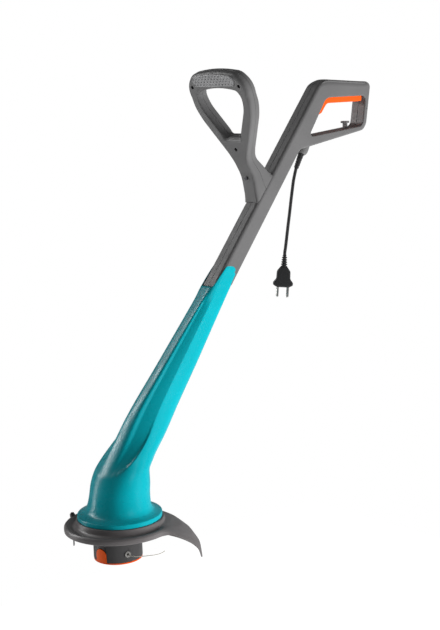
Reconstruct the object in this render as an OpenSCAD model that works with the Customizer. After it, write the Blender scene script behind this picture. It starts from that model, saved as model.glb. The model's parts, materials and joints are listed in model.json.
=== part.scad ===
// Corded electric string trimmer, held by its rear grip.
// Lengths are in millimetres. Heights and places are first set from the cutting head:
// its axis is the Z axis and the bottom edge of its wall is z = 0. The operator stands at +X.
// The whole model is then shifted so that the middle of the rear grip is the origin.

/* [Cutting head] */
// Outer radius of the cutting head
head_r = 42; // [41.5:0.5:42.5]
// Height of the cutting head's wall
head_h = 32; // [31:0.5:34]
// Wall thickness of the head
head_wall = 2.5; // [2:0.25:2.5]
// Radius of the tap knob
knob_r = 15; // [13:0.5:15]
// Angle of the release buttons from the front and rear
button_angle = 8; // [0:1:12]
// Angle of the line outlet about the head's axis
outlet_angle = -105; // [-110:1:-100]

/* [Motor] */
// Radius of the motor shaft
shaft_r = 4; // [3.5:0.25:4]
// Outer radius of the stator
stator_r = 33.5; // [32:0.5:33.5]
// Height of the stator and rotor cores
core_h = 34; // [30:1:36]
// Radial air gap between rotor and stator
air_gap = 0.5; // [0.4:0.1:0.8]

/* [Guard] */
// Radius of the guard's rim round the front
rim_r = 93.5; // [92:0.5:95]
// Outer radius of the rear shield at its lower edge
shield_r = 145; // [140:1:148]
// Height of the shield's lower edge
shield_low = -10; // [-10:1:0]
// Half angle of the full-depth part of the shield
shield_half_angle = 44; // [40:1:48]

/* [Housing and handles] */
// Wall thickness of the moulded shells
wall = 2.5; // [2:0.25:3]
// Half width of the grey shaft and rear handle
handle_half_w = 17.5; // [17:0.25:18.5]
// Lean of the front handle towards the front
front_lean = 22; // [21.6:0.2:22.4]
// Depth of the front handle's front shell
front_shell_d = 13; // [12:0.5:14]
// Depth of the front handle's back shell
back_shell_d = 12; // [11:0.5:12.5]

/* [Trigger and cord] */
// Half width of the trigger
trigger_half_w = 13; // [12:0.25:13]
// Diameter of the mains cord
cord_d = 6; // [5:0.5:7]
// Diameter of the plug's contact pins
plug_pin_d = 4.8; // [4.8:0.1:5]
// Length of the plug's contact pins
plug_pin_l = 19; // [17:1:20]
// Distance between the plug's pins
plug_pitch = 19; // [18:1:20]

/* [Hidden] */
$fn = 64;

// Middle of the rear grip, which becomes the origin
grip_centre = [580, 0, 768];
// Small clearance between parts that only lie next to each other
gap = 0.3;

// Colours
turquoise = [0.03, 0.73, 0.82];
grey = [0.42, 0.42, 0.43];
dark_grey = [0.2, 0.2, 0.2];
black = [0.12, 0.12, 0.13];
orange = [0.95, 0.4, 0.1];
steel = [0.75, 0.76, 0.78];
copper = [0.75, 0.42, 0.2];

// ---------- general helpers ----------

module place() translate(-grip_centre) children();
function unit(v) = v / norm(v);
function signed_pow(v, p) = sign(v) * pow(abs(v), p);
function column(table, z, c) = lookup(z, [for (row = table) [row[0], row[c]]]);

// Closed skin through equal rings; each ring turns right-handed about the direction of travel
module skin(rings, cyclic = false) {
    n = len(rings[0]);
    m = len(rings);
    last = cyclic ? m - 1 : m - 2;
    sides = [for (j = [0:last], i = [0:n - 1])
        let (a = j * n + i, b = j * n + (i + 1) % n, c = ((j + 1) % m) * n + i, d = ((j + 1) % m) * n + (i + 1) % n)
        each [[a, c, d], [a, d, b]]];
    top = (m - 1) * n;
    caps = cyclic ? [] : [for (i = [0:n / 2 - 2])
        let (a = i, b = i + 1, c = n - 2 - i, d = n - 1 - i)
        each [[a, b, c], [a, c, d], [top + c, top + b, top + a], [top + d, top + c, top + a]]];
    polyhedron(points = [for (r = rings) each r], faces = concat(sides, caps));
}

// Rings of a round tube along a path; side_axis is any direction never parallel to the path
function tube_rings(path, radii, sides, side_axis) =
    let (n = len(path))
    [for (i = [0:n - 1])
        let (d = unit(path[min(i + 1, n - 1)] - path[max(i - 1, 0)]),
             u = unit(cross(side_axis, d)), v = cross(d, u), r = is_list(radii) ? radii[i] : radii)
        [for (k = [0:sides - 1]) path[i] + r * (cos(360 * k / sides) * u + sin(360 * k / sides) * v)]];

// Catmull-Rom curve through hand-set points
function curve_point(p, i, t) =
    let (n = len(p) - 1, a = p[max(i - 1, 0)], b = p[i], c = p[min(i + 1, n)], d = p[min(i + 2, n)])
    0.5 * (2 * b + (c - a) * t + (2 * a - 5 * b + 4 * c - d) * t * t + (3 * b - a - 3 * c + d) * t * t * t);
function curve(p, steps) = concat([for (i = [0:len(p) - 2], k = [0:steps - 1]) curve_point(p, i, k / steps)],
                                  [p[len(p) - 1]]);

// Corner points [x, y, radius] moved inwards by d (points run anticlockwise)
function inset(c, d) =
    let (n = len(c))
    [for (i = [0:n - 1])
        let (p = [c[i][0], c[i][1]], a = [c[(i + n - 1) % n][0], c[(i + n - 1) % n][1]],
             b = [c[(i + 1) % n][0], c[(i + 1) % n][1]], u = unit(p - a), v = unit(b - p),
             nu = [-u[1], u[0]], nv = [-v[1], v[0]], turn = cross(u, v), q = p + d * (nu + nv) / (1 + nu * nv))
        [q[0], q[1], max(0.5, c[i][2] - sign(turn) * d)]];

// Corner points [x, y, radius] turned into a polygon with round corners
function rounded(c, steps = 6) =
    let (n = len(c))
    [for (i = [0:n - 1])
        let (p = [c[i][0], c[i][1]], a = [c[(i + n - 1) % n][0], c[(i + n - 1) % n][1]],
             b = [c[(i + 1) % n][0], c[(i + 1) % n][1]], u = unit(p - a), v = unit(b - p),
             s = sign(cross(u, v)), turn = acos(min(1, u * v)), r = c[i][2],
             start = p - u * r * tan(turn / 2), mid = start + s * r * [-u[1], u[0]])
        each [for (k = [0:steps])
            let (w = s * turn * k / steps, e = start - mid) mid + [e[0] * cos(w) - e[1] * sin(w), e[0] * sin(w) + e[1] * cos(w)]]];

// Plate in the XZ plane between two Y values
module plate_y(points, y0, y1) translate([0, y1, 0]) rotate([90, 0, 0]) linear_extrude(y1 - y0) polygon(points);
module rod_y(x, z, r, y0, y1) translate([x, y1, z]) rotate([90, 0, 0]) cylinder(r = r, h = y1 - y0);
module block(low, high) translate(low) cube(high - low);
module ring(r_out, r_in, z0, z1) translate([0, 0, z0]) rotate_extrude() translate([r_in, 0]) square([r_out - r_in, z1 - z0]);

// ---------- turquoise motor housing ----------

// Sections: height, front X, rear X, half width, exponent of the rounded outline
housing_sections = [[68, -65, 80, 73, 2], [75, -65, 80, 73, 2], [78, -58, 72, 67, 2], [82, -51, 64, 61, 2],
                    [90, -46, 59.5, 57, 2], [106, -42, 58, 54, 2], [128, -36, 61, 52.5, 2.1], [146, -24, 59, 51, 2.2],
                    [165, -9.5, 71.5, 47, 2.3], [200, 15.5, 102.5, 39, 2.4], [250, 54.5, 141.5, 30, 2.6],
                    [310, 107, 186, 25, 2.9], [380, 170.5, 234.5, 21.5, 3.4], [452, 236, 285, 18.5, 4.5]];
housing_levels = [68, 75, 76.5, 78, 80, 82, 86, 90, 98, 106, 117, 128, 137, 146, 155, 165, 182, 200, 225, 250, 280,
                  310, 345, 380, 416, 452];
housing_steps = 12;

function housing_arc(z, inset_by) =
    let (slope_inset = z > 140 ? inset_by * 1.3 : inset_by,
         f = column(housing_sections, z, 1) + slope_inset, r = column(housing_sections, z, 2) - slope_inset,
         b = column(housing_sections, z, 3) - inset_by, e = 2 / column(housing_sections, z, 4))
    [for (i = [0:housing_steps])
        let (t = 180 * i / housing_steps)
        [(f + r) / 2 - (r - f) / 2 * signed_pow(cos(t), e), -b * pow(max(sin(t), 0), e), z]];

module housing_half() {
    skin([for (z = housing_levels)
        let (outer = housing_arc(z, 0), inner = housing_arc(z, wall))
        concat(outer, [for (i = [housing_steps:-1:0]) inner[i]])]);
}

// Screw places in the housing: X, Z
housing_screw_spots = [[62, 190], [158, 315], [230, 405]];

function boss_depth(z) = column(housing_sections, z, 3) - wall - 0.6;

module housing_shell_left() color(turquoise) place() difference() {
    union() {
        housing_half();
        for (s = housing_screw_spots) rod_y(s[0], s[1], 4.5, -boss_depth(s[1]) - 1.6, 0);
    }
    for (s = housing_screw_spots) rod_y(s[0], s[1], 1.8, -boss_depth(s[1]) + 1, 1);
}

module housing_shell_right() color(turquoise) place() difference() {
    union() {
        mirror([0, 1, 0]) housing_half();
        for (s = housing_screw_spots) rod_y(s[0], s[1], 4.5, 0, boss_depth(s[1]) + 1.6);
    }
    for (s = housing_screw_spots) {
        rod_y(s[0], s[1], 2, -1, 60);
        rod_y(s[0], s[1], 3.6, boss_depth(s[1]) - 3, 60);
    }
}

// Pan-head screw along -Y whose head starts at y0
module shell_screw(x, z, y0, length) {
    difference() {
        rod_y(x, z, 3.2, y0, y0 + 2.2);
        rod_y(x, z, 1.2, y0 + 1, y0 + 3);
    }
    rod_y(x, z, 1.6, y0 - length, y0);
}

module housing_screws() color(steel) place()
    for (s = housing_screw_spots) shell_screw(s[0], s[1], boss_depth(s[1]) - 3, 2 * boss_depth(s[1]) - 6);

// ---------- grey shaft and rear handle ----------

handle_outline = [[284, 452, 0.5], [453, 664, 20], [637, 692, 20], [653, 782, 10], [516, 791, 40], [240, 452, 0.5]];
handle_opening = [[477, 686, 5], [626, 699, 12], [636, 756, 9], [526, 756, 22]];
edge_step = 2.5;
handle_screw_spots = [[295, 485], [368, 575], [436, 655], [640, 768], [490, 732]];

module handle_half(side) {
    difference() {
        union() {
            difference() {
                union() {
                    plate_y(rounded(handle_outline), 0, handle_half_w - 2 * edge_step);
                    plate_y(rounded(inset(handle_outline, edge_step)), 0, handle_half_w);
                    // spigot inside the turquoise housing
                    plate_y([[221, 425], [256, 425], [279.5, 454], [244.5, 454]], 0, 14.5);
                }
                plate_y(rounded(inset(handle_outline, wall + edge_step)), -1, handle_half_w - wall);
                plate_y([[222, 420], [249, 420], [281, 461], [254, 461]], -1, 12);
            }
            // wall round the handle opening
            plate_y(rounded(inset(handle_opening, -wall)), 0, handle_half_w - edge_step / 2);
            for (s = handle_screw_spots) rod_y(s[0], s[1], 4, 0, handle_half_w - wall + 0.5);
            rod_y(trigger_pivot[0], trigger_pivot[1], 5, trigger_half_w + 0.7, handle_half_w - wall + 0.5);
        }
        plate_y(rounded(handle_opening), -1, handle_half_w + 1);
        plate_y(trigger_slot, -1, trigger_half_w + 0.4);
        rod_y(trigger_pivot[0], trigger_pivot[1], 2, 0, handle_half_w - 1);
        // seat of the strain relief
        strain_relief_axis() translate([0, 0, -14]) cylinder(r = 5.2, h = 40);
        strain_relief_axis() translate([0, 0, -1.5]) cylinder(r = 6.6, h = 30);
        neck_screw_place() cylinder(r = 1.8, h = 60);
        strain_relief_axis() translate([0, 0, -7.3]) cylinder(r = 7.3, h = 4.6);
    }
}

module handle_shell_left() color(grey) place() difference() {
    mirror([0, 1, 0]) handle_half();
    for (s = handle_screw_spots) rod_y(s[0], s[1], 1.8, -handle_half_w + 3, 1);
}

module handle_shell_right() color(grey) place() difference() {
    handle_half();
    for (s = handle_screw_spots) {
        rod_y(s[0], s[1], 2, -1, handle_half_w + 1);
        rod_y(s[0], s[1], 3.6, handle_half_w - 3, handle_half_w + 1);
    }
}

module handle_shell_screws() color(steel) place()
    for (s = handle_screw_spots) shell_screw(s[0], s[1], handle_half_w - 3, 28);

// T-shaped hook that holds the extension cord, on the inside of the lower bar
hook_x = 594;
module extension_cord_hook() color(dark_grey) place() {
    block([hook_x - 3, -4, 696], [hook_x + 3, 4, 706]);
    block([hook_x - 5.5, -7, 705.5], [hook_x + 5.5, 7, 709.5]);
}

// ---------- trigger, switch and wiring ----------

trigger_pivot = [510, 750];
trigger_slot = [[500, 728], [504, 722], [516, 719], [530, 736], [632, 736], [632, 766], [500, 766]];
trigger_outline = [[509.5, 725, 2], [517, 728, 3], [532, 745.5, 14], [629, 745.5, 4], [629, 758.5, 2], [502.5, 758.5, 3],
                   [502.5, 736, 4]];
trigger_top = 758.5;
plunger_x = 550;
spring_x = 604;
spring_top = 778;

module trigger() color(orange) place() difference() {
    plate_y(rounded(trigger_outline), -trigger_half_w, trigger_half_w);
    rod_y(trigger_pivot[0], trigger_pivot[1], 2.06, -20, 20);
}

module trigger_pin() color(steel) place()
    rod_y(trigger_pivot[0], trigger_pivot[1], 2, -handle_half_w + 1.1, handle_half_w - 1.1);

module switch_body() color(black) place() difference() {
    block([538, -8, 765.5], [566, 8, 780]);
    translate([plunger_x, 0, 765]) cylinder(r = 2.56, h = 5.5);
}

module switch_plunger() color([0.85, 0.2, 0.15]) place()
    translate([plunger_x, 0, trigger_top + gap]) cylinder(r = 2.5, h = 9.4);

module capacitor() color([0.9, 0.75, 0.1]) place() block([575, -7, 767], [593, 7, 779]);

function helix(cx, cy, z0, z1, r, turns, steps) =
    [for (i = [0:turns * steps]) [cx + r * cos(360 * i / steps), cy + r * sin(360 * i / steps),
                                  z0 + (z1 - z0) * i / (turns * steps)]];
module coil_spring(cx, z0, z1, r, wire, turns)
    skin(tube_rings(helix(cx, 0, z0 + wire, z1 - wire, r, turns, 12), wire, 6, [0, 0, 1]));

module trigger_spring() color(steel) place()
    coil_spring(spring_x, trigger_top + gap, spring_top, 3.6, 0.5, 6);

// Routes of the two leads from the switch to the brush holders, one per side
lead_route = [[536, 4, 774], [522, 4, 773], [508, 4, 766], [497, 4, 752], [480, 4, 732], [455, 4, 700], [402, 4, 636],
              [303, 4, 512], [258, 4, 456], [212, 4, 398], [140, 4, 312], [80, 8, 240], [44, 16, 188], [30, 26, 162],
              [20, 31, 147], [14, 30, 140], [6, 27, 134.5]];
function mirror_y(route) = [for (p = route) [p[0], -p[1], p[2]]];
module lead(route) skin(tube_rings(curve(route, 3), 1.3, 6, [0, 1, 0]));
module lead_live() color([0.45, 0.25, 0.12]) place() lead(lead_route);
module lead_neutral() color([0.15, 0.3, 0.7]) place() lead(mirror_y(lead_route));

// ---------- mains cord ----------

cord_exit = [479, 0, 668];
cord_exit_dir = unit([-22, 0, -40]);
relief_length = 44;
relief_tip = cord_exit + relief_length * cord_exit_dir;
// Top of the plug's neck, where the cord ends, and the angle at which the plug hangs
plug_top = [421.8, 0, 470];
plug_tilt = 7;
// The cord hangs from the strain relief's tip to the plug's neck
cord_route = [[455, 0, 622], [450, 0, 607], [446.2, 0, 590], [442.8, 0, 574], [439.6, 0, 558], [436.4, 0, 542],
              [433, 0, 526], [429.8, 0, 510], [426.6, 0, 494], [424, 0, 482], [422.5, 0, 476]];

module strain_relief_axis() translate(cord_exit) rotate([0, 180 + atan2(22, 40), 0]) children();

module cord_strain_relief() color(black) place() strain_relief_axis() difference() {
    union() {
        cylinder(r1 = 6.2, r2 = 4.4, h = relief_length);
        translate([0, 0, -7]) cylinder(r = 7, h = 4);
        translate([0, 0, -9]) cylinder(r = 5, h = 9);
    }
    translate([0, 0, -13]) cylinder(r = cord_d / 2, h = relief_length + 14);
}

// Cable clamp across the cord inside the handle
clamp_low = [455, -12, 676];
clamp_high = [466, 12, 681];
module at_clamp_screws() for (y = [-8.5, 8.5]) translate([460.5, y, clamp_low[2]]) children();
module cord_clamp() color(dark_grey) place() difference() {
    block(clamp_low, clamp_high);
    at_clamp_screws() translate([0, 0, -1]) cylinder(r = 1.6, h = 8);
}
module cord_clamp_screws() color(steel) place() at_clamp_screws() {
    cylinder(r = 1.5, h = 5);
    translate([0, 0, 5]) cylinder(r = 2.8, h = 1.8);
}

module mains_cord() color(black) place()
    skin(tube_rings(concat([relief_tip], curve(cord_route, 2), [plug_top]), cord_d / 2, 10, [0, 1, 0]));

// Heights in the plug are measured down from its top
plug_low = -60;
plug_right = [[11, plug_low, 2], [18.5, -56, 2], [18.5, -51, 2], [13, -45, 6], [13, -30, 6], [6, -21, 4]];
plug_outline = concat(plug_right, mirrored(plug_right));
plug_turn = -42;
// Each pin narrows to a root, just below the body that is moulded round it
plug_root_r = 1.9;
plug_root_gap = 0.5;
module plug_place() translate(plug_top) rotate([0, plug_tilt, 0]) rotate([0, 0, plug_turn]) children();
module at_plug_pins() for (x = [-plug_pitch / 2, plug_pitch / 2]) translate([x, 0, plug_low]) children();

module plug_body() color(black) place() plug_place() difference() {
    union() {
        plate_y(rounded(plug_outline), -6.8, 6.8);
        for (k = [0:5]) translate([0, 0, 3.4 * k - 23]) cylinder(r = 6 - 0.25 * k, h = 2.2);
        translate([0, 0, -30]) cylinder(r = 4, h = 30);
    }
    at_plug_pins() translate([0, 0, -1]) cylinder(r = plug_root_r, h = 9);
}

module plug_pins() color(steel) place() plug_place() at_plug_pins() {
    translate([0, 0, -plug_pin_l]) cylinder(r = plug_pin_d / 2, h = plug_pin_l - plug_root_gap);
    translate([0, 0, -plug_root_gap]) cylinder(r = plug_root_r, h = 8 + plug_root_gap);
}

// ---------- front handle ----------

front_base = [328, 0, 654];
// Half of the loop's outline in its own leaning plane: half width, height, corner radius
loop_right = [[18, 0, 0.5], [25, 17, 40], [71.5, 95, 50], [78, 146, 24], [57, 168, 20], [0, 176, 200]];
hole_right = [[19.5, 48, 6], [54, 105, 30], [57, 139, 12], [0, 143, 100]];
function mirrored(c) = [for (i = [len(c) - 1:-1:0]) if (c[i][0] > 0) [-c[i][0], c[i][1], c[i][2]]];
loop_outline = concat(loop_right, mirrored(loop_right));
hole_outline = concat(hole_right, mirrored(hole_right));
// Front and back of the neck where it meets the shaft, in XZ
neck_front = [[315.9, 649.3], [331, 624], [336, 600], [338, 572.5], [361, 600.8], [345, 632], [328, 654]];
neck_back = [[328, 654], [345, 632], [361, 600.8], [378, 621.7], [361, 641], [339.2, 658.4]];
neck_half_w = 18;
// Screws of the front handle: sideways place and height in the leaning plane
front_screw_spots = [[-60, 146], [60, 146], [0, 26]];

// Leaning plane of the loop: X across, Y up along the loop, Z towards the rear
module loop_plane() translate(front_base) rotate([0, -front_lean, 0]) rotate([90, 0, 90]) children();
module loop_slab(outline, w0, w1) translate([0, 0, w0]) linear_extrude(w1 - w0) polygon(outline);

module loop_shell(w_face, w_edge, w_mid) {
    low = min(w_face, 0);
    high = max(w_face, 0);
    difference() {
        union() {
            loop_slab(rounded(loop_outline), min(w_edge, w_mid), max(w_edge, w_mid));
            loop_slab(rounded(inset(loop_outline, edge_step)), low, high);
        }
        loop_slab(rounded(hole_outline), low - 1, high + 1);
        difference() {
            loop_slab(rounded(inset(loop_outline, wall + edge_step)), w_face < 0 ? low + wall : low - 1, w_face < 0 ? high + 1 : high - wall);
            loop_slab(rounded(inset(hole_outline, -wall)), low - 2, high + 2);
            for (s = front_screw_spots) translate([s[0], s[1], -20]) cylinder(r = 4, h = 40);
            translate([-30, -10, -20]) cube([60, 20, 40]);
        }
        for (s = front_screw_spots) translate([s[0], s[1], -20]) cylinder(r = 1.8, h = 40);
    }
}

module front_handle_front_shell() color(grey) place() difference() {
    union() {
        loop_plane() loop_shell(-front_shell_d, -front_shell_d + 3, 0);
        plate_y(neck_front, -neck_half_w, neck_half_w);
    }
    loop_plane() for (s = front_screw_spots) translate([s[0], s[1], -20]) cylinder(r = 3.5, h = 20 - front_shell_d + 5);
    neck_screw_place() translate([0, 0, -12]) cylinder(r = 3.5, h = 12);
    neck_screw_place() cylinder(r = 1.8, h = 60);
}

module front_handle_back_shell() color(grey) place() difference() {
    union() {
        loop_plane() loop_shell(back_shell_d, back_shell_d - 3, 0);
        plate_y(neck_back, -neck_half_w, neck_half_w);
    }
    neck_screw_place() cylinder(r = 1.8, h = 60);
}

// Lowest screw, through the neck into the shaft
module neck_screw_place() translate([330, 0, 620]) rotate([0, 90, 0]) children();

module front_handle_screws() color(steel) place() {
    loop_plane() for (s = front_screw_spots) translate([s[0], s[1], -front_shell_d + 3]) {
        cylinder(r = 3.1, h = 2);
        cylinder(r = 1.5, h = front_shell_d + 3);
    }
    neck_screw_place() translate([0, 0, -2]) {
        cylinder(r = 3.1, h = 2);
        cylinder(r = 1.5, h = 57);
    }
}

pad_outline = [[-48, 147.5, 3], [0, 147, 100], [48, 147.5, 3], [54, 158, 6], [46, 167, 8], [0, 171, 100], [-46, 167, 8],
               [-54, 158, 6]];
pad_thickness = 2.6;
module grip_pad() color(dark_grey) place() loop_plane() 
    loop_slab(rounded(pad_outline), -front_shell_d - pad_thickness, -front_shell_d);

// ---------- motor ----------

core_low = 90;
core_high = core_low + core_h;
rotor_r = 20;
pole_half_angle = 38;
module sector(r, half_angle, z0, z1) translate([0, 0, z0]) rotate([0, 0, -half_angle]) rotate_extrude(angle = 2 * half_angle) square([r, z1 - z0]);

module stator_core() color(steel) place() difference() {
    translate([0, 0, core_low]) cylinder(r = stator_r, h = core_h);
    translate([0, 0, core_low - 1]) cylinder(r = rotor_r + air_gap, h = core_h + 2);
    for (a = [0, 180]) rotate([0, 0, a]) sector(29.5, 90 - pole_half_angle, core_low - 1, core_high + 1);
}

module stator_windings() color(copper) place() for (a = [0, 180]) rotate([0, 0, a]) difference() {
    sector(29.2, 88 - pole_half_angle, core_low - 4, core_high + 4);
    translate([0, 0, core_low - 5]) cylinder(r = rotor_r + 1.2, h = core_h + 10);
}

module rotor_core() color(steel) place() difference() {
    translate([0, 0, core_low]) cylinder(r = rotor_r, h = core_h);
    translate([0, 0, core_low - 1]) cylinder(r = shaft_r, h = core_h + 2);
    for (k = [0:11]) rotate([0, 0, 30 * k]) translate([rotor_r - 2, -0.8, core_low - 1]) cube([4, 1.6, core_h + 2]);
}

module rotor_windings() color(copper) place() {
    ring(17, shaft_r + 1, core_low - 5, core_low);
    ring(17, shaft_r + 1, core_high, core_high + 4.5);
}

commutator_low = core_high + 5;
module commutator() color(copper) place() difference() {
    ring(11, shaft_r, commutator_low, commutator_low + 9);
    for (k = [0:11]) rotate([0, 0, 30 * k]) translate([10, -0.3, commutator_low - 1]) cube([3, 0.6, 11]);
}

bearing_r = 11;
lower_bearing_z = 64;
upper_bearing_z = commutator_low + 11;
module bearing(z) {
    ring(bearing_r, 9, z, z + 7);
    ring(6, shaft_r, z, z + 7);
    for (k = [0:7]) rotate([0, 0, 45 * k]) translate([7.5, 0, z + 3.5]) sphere(r = 1.4, $fn = 24);
}
module lower_bearing() color(steel) place() bearing(lower_bearing_z);
module upper_bearing() color(steel) place() bearing(upper_bearing_z);

motor_screw_r = 52;
module motor_bracket() color([0.6, 0.61, 0.62]) place() difference() {
    union() {
        translate([0, 0, 61]) cylinder(r = 40, h = 3);
        translate([0, 0, 61]) cylinder(r = 14, h = 10);
        for (a = [45, 135, 225, 315]) rotate([0, 0, a]) block([30, -6, 61], [motor_screw_r + 5, 6, 64]);
        for (a = [0, 180]) rotate([0, 0, a + 90]) block([31, -6, 61], [34, 6, core_low]);
    }
    translate([0, 0, lower_bearing_z]) cylinder(r = bearing_r, h = 20);
    translate([0, 0, 60]) cylinder(r = 9, h = 20);
    for (a = [45, 135, 225, 315]) rotate([0, 0, a]) translate([motor_screw_r, 0, 60]) cylinder(r = 2.1, h = 6);
}

module motor_screws() color(steel) place() for (a = [45, 135, 225, 315]) rotate([0, 0, a]) translate([motor_screw_r, 0, 0]) {
    translate([0, 0, 64]) cylinder(r = 3.5, h = 2.2);
    translate([0, 0, 60]) cylinder(r = 1.9, h = 4);
}

cap_z = commutator_low + 9.5;
module motor_end_cap() color(black) place() difference() {
    union() {
        translate([0, 0, cap_z]) cylinder(r = 14, h = 8.5);
        for (a = [90, 270]) rotate([0, 0, a]) {
            block([30.2, -8, core_high], [33.2, 8, cap_z + 3]);
            block([5, -8, cap_z], [33.2, 8, cap_z + 3]);
        }
    }
    translate([0, 0, upper_bearing_z]) cylinder(r = bearing_r, h = 20);
    translate([0, 0, cap_z - 1]) cylinder(r = 9, h = 20);
}

brush_z = commutator_low + 4.5;
module brush_holders() color([0.8, 0.65, 0.3]) place() for (a = [0, 180]) rotate([0, 0, a + 90]) difference() {
    block([13, -4.4, brush_z - 4], [29, 4.4, brush_z + 4]);
    block([12, -3.1, brush_z - 2.9], [28, 3.1, brush_z + 2.9]);
}
module carbon_brushes() color(black) place() for (a = [0, 180]) rotate([0, 0, a + 90])
    block([11.3, -3, brush_z - 2.8], [24, 3, brush_z + 2.8]);

module motor_shaft() color(steel) place() translate([0, 0, 22]) cylinder(r = shaft_r, h = upper_bearing_z + 7 - 22);

module cooling_fan() color(black) place() {
    difference() {
        union() {
            translate([0, 0, 74]) cylinder(r = 30, h = 1.5);
            translate([0, 0, 74]) cylinder(r = 8, h = 9);
            for (k = [0:8]) rotate([0, 0, 40 * k]) block([7, -0.8, 74], [29.5, 0.8, 83]);
        }
        translate([0, 0, 73]) cylinder(r = shaft_r, h = 12);
    }
}

// ---------- guard ----------

// Round the front the guard is a flat rim: radius, height, forward shift of the circle's centre
rim_outer = [[70, 67.7, 8], [75.5, 67.7, 8], [78, 60.5, 7], [84, 57.5, 5], [88, 59.5, 4], [rim_r - 2.5, 59, 4],
             [rim_r, 56, 4], [rim_r, 48.5, 4]];
rim_inner = [[rim_r - 3, 48.5, 4], [rim_r - 3, 53.5, 4], [rim_r - 4.5, 56, 4], [88, 56.4, 4], [84, 54.3, 5], [75, 56.5, 7]];
plate_points = [[58, 57, 3], [17, 57, 0], [17, 60, 0], [60, 60, 3], [68, 64.5, 8]];
shield_high = 62;
shield_rise = 64;
// Exponent of the shield's dome: larger is fuller
shield_curve = 1.65;
shield_inner_r = 70;
guard_columns = 72;

function smooth(t) = let (c = min(1, max(0, t))) c * c * (3 - 2 * c);
function rear_angle(a) = abs(a > 180 ? a - 360 : a);
// Height of the shield's lower edge at an angle from the rear
function edge_height(a) = a < shield_half_angle ? shield_low
    : min(48.5, shield_low + 66 * pow(sin(90 * min(1, (a - shield_half_angle) / 34)), 0.8));
function shield_radius(z) =
    shield_inner_r + (shield_r - shield_inner_r) * pow(1 - pow(max(z, 0) / shield_rise, shield_curve), 1 / shield_curve);
function shield_outer(a) =
    let (low = edge_height(a))
    concat([[70, 67.7, 8], [75.5, 67, 8]],
           [for (k = [0:5]) let (z = low + (shield_high - low) * cos(18 * k)) [shield_radius(z), z, 0]]);
function shield_inner(a) =
    let (low = edge_height(a))
    [for (k = [5:-1:0]) let (z = low + (shield_high - 3 - low) * cos(18 * k)) [shield_radius(z) - 3.2, z - (k == 5 ? 0 : 1), 0]];
function guard_ring(angle) =
    let (a = rear_angle(angle), w = 1 - smooth((a - 58) / 22),
         points = concat([for (k = [0:7]) w * shield_outer(a)[k] + (1 - w) * rim_outer[k]],
                         [for (k = [0:5]) w * shield_inner(a)[k] + (1 - w) * rim_inner[k]], plate_points))
    [for (p = points) [p[0] * cos(angle) + p[2], p[0] * sin(angle), p[1]]];

cutter_angle = 109;
cutter_r = 92;
guard_screw_spots = [[62, 20], [62, 140], [62, 260]];

module cutter_place() rotate([0, 0, cutter_angle]) translate([cutter_r, 0, 0]) rotate([0, 0, -cutter_angle]) children();

module guard() color(dark_grey) place() difference() {
    union() {
        skin([for (k = [0:guard_columns - 1]) guard_ring(360 * k / guard_columns)], cyclic = true);
        cutter_place() translate([0, 0, 56.5]) cylinder(r = 4.6, h = 5);
    }
    cutter_place() translate([0, 0, 40]) cylinder(r = 1.7, h = 30);
    for (s = guard_screw_spots) rotate([0, 0, s[1]]) translate([s[0] - 14, 0, 56]) cylinder(r = 2.2, h = 5);
}

module guard_screws() color(steel) place() for (s = guard_screw_spots) rotate([0, 0, s[1]]) translate([s[0] - 14, 0, 0]) {
    translate([0, 0, 54.8]) cylinder(r = 3.8, h = 2.2);
    translate([0, 0, 57]) cylinder(r = 2, h = 4);
}

module line_cutter() color(steel) place() cutter_place() difference() {
    rotate([0, 0, 48]) {
        block([-5, -5, 46.9], [5, 5, 48.4]);
        block([-4, -0.75, 4], [4, 0.75, 47.5]);
    }
    translate([0, 0, 42]) cylinder(r = 1.7, h = 10);
}

module line_cutter_screw() color(steel) place() cutter_place() {
    translate([0, 0, 61.5]) cylinder(r = 3, h = 1.8);
    translate([0, 0, 49]) cylinder(r = 1.6, h = 12.5);
}

// ---------- cutting head ----------

line_z = 14;
button_w = 22;
button_h = 23;
cover_wall_out = head_r - head_wall - 0.9;
cover_wall_in = cover_wall_out - 2;

// Button outline: straight sides with a round top, as seen from outside
module button_block(half_w, z0, top, r0, r1) rotate([90, 0, 90]) translate([0, 0, r0]) linear_extrude(r1 - r0)
    union() {
        translate([-half_w, z0]) square([2 * half_w, top - half_w - z0]);
        translate([0, top - half_w]) circle(r = half_w);
    }
module at_buttons() for (a = [0, 180]) rotate([0, 0, a + button_angle]) children();

module head_housing() color(black) place() difference() {
    union() {
        cylinder(r = head_r, h = head_h);
        translate([0, 0, head_h]) cylinder(r = 12, h = 14);
    }
    translate([0, 0, -1]) cylinder(r = head_r - head_wall, h = head_h - 2.5 + 1);
    translate([0, 0, -2]) cylinder(r = shaft_r, h = 60);
    at_buttons() button_block(button_w / 2 + 0.5, -2, button_h + 0.8, head_r - head_wall - 3, head_r + 3);
    rotate([0, 0, outlet_angle]) translate([head_r - 6, 0, line_z]) rotate([0, 90, 0]) cylinder(r = 4, h = 10);
}

module line_eyelet() color(steel) place() rotate([0, 0, outlet_angle]) translate([0, 0, line_z]) rotate([0, 90, 0]) difference() {
    union() {
        translate([0, 0, head_r - head_wall]) cylinder(r = 4, h = head_wall);
        translate([0, 0, head_r - 0.4]) cylinder(r = 5.2, h = 1.8);
    }
    translate([0, 0, head_r - 6]) cylinder(r = 2.2, h = 12);
    // leave the head's round wall clear
    rotate([0, -90, 0]) translate([0, 0, -10]) difference() {
        cylinder(r = head_r + 0.02, h = 20);
        translate([head_r - 6, 0, 10]) rotate([0, 90, 0]) cylinder(r = 4, h = 12);
    }
}

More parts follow.
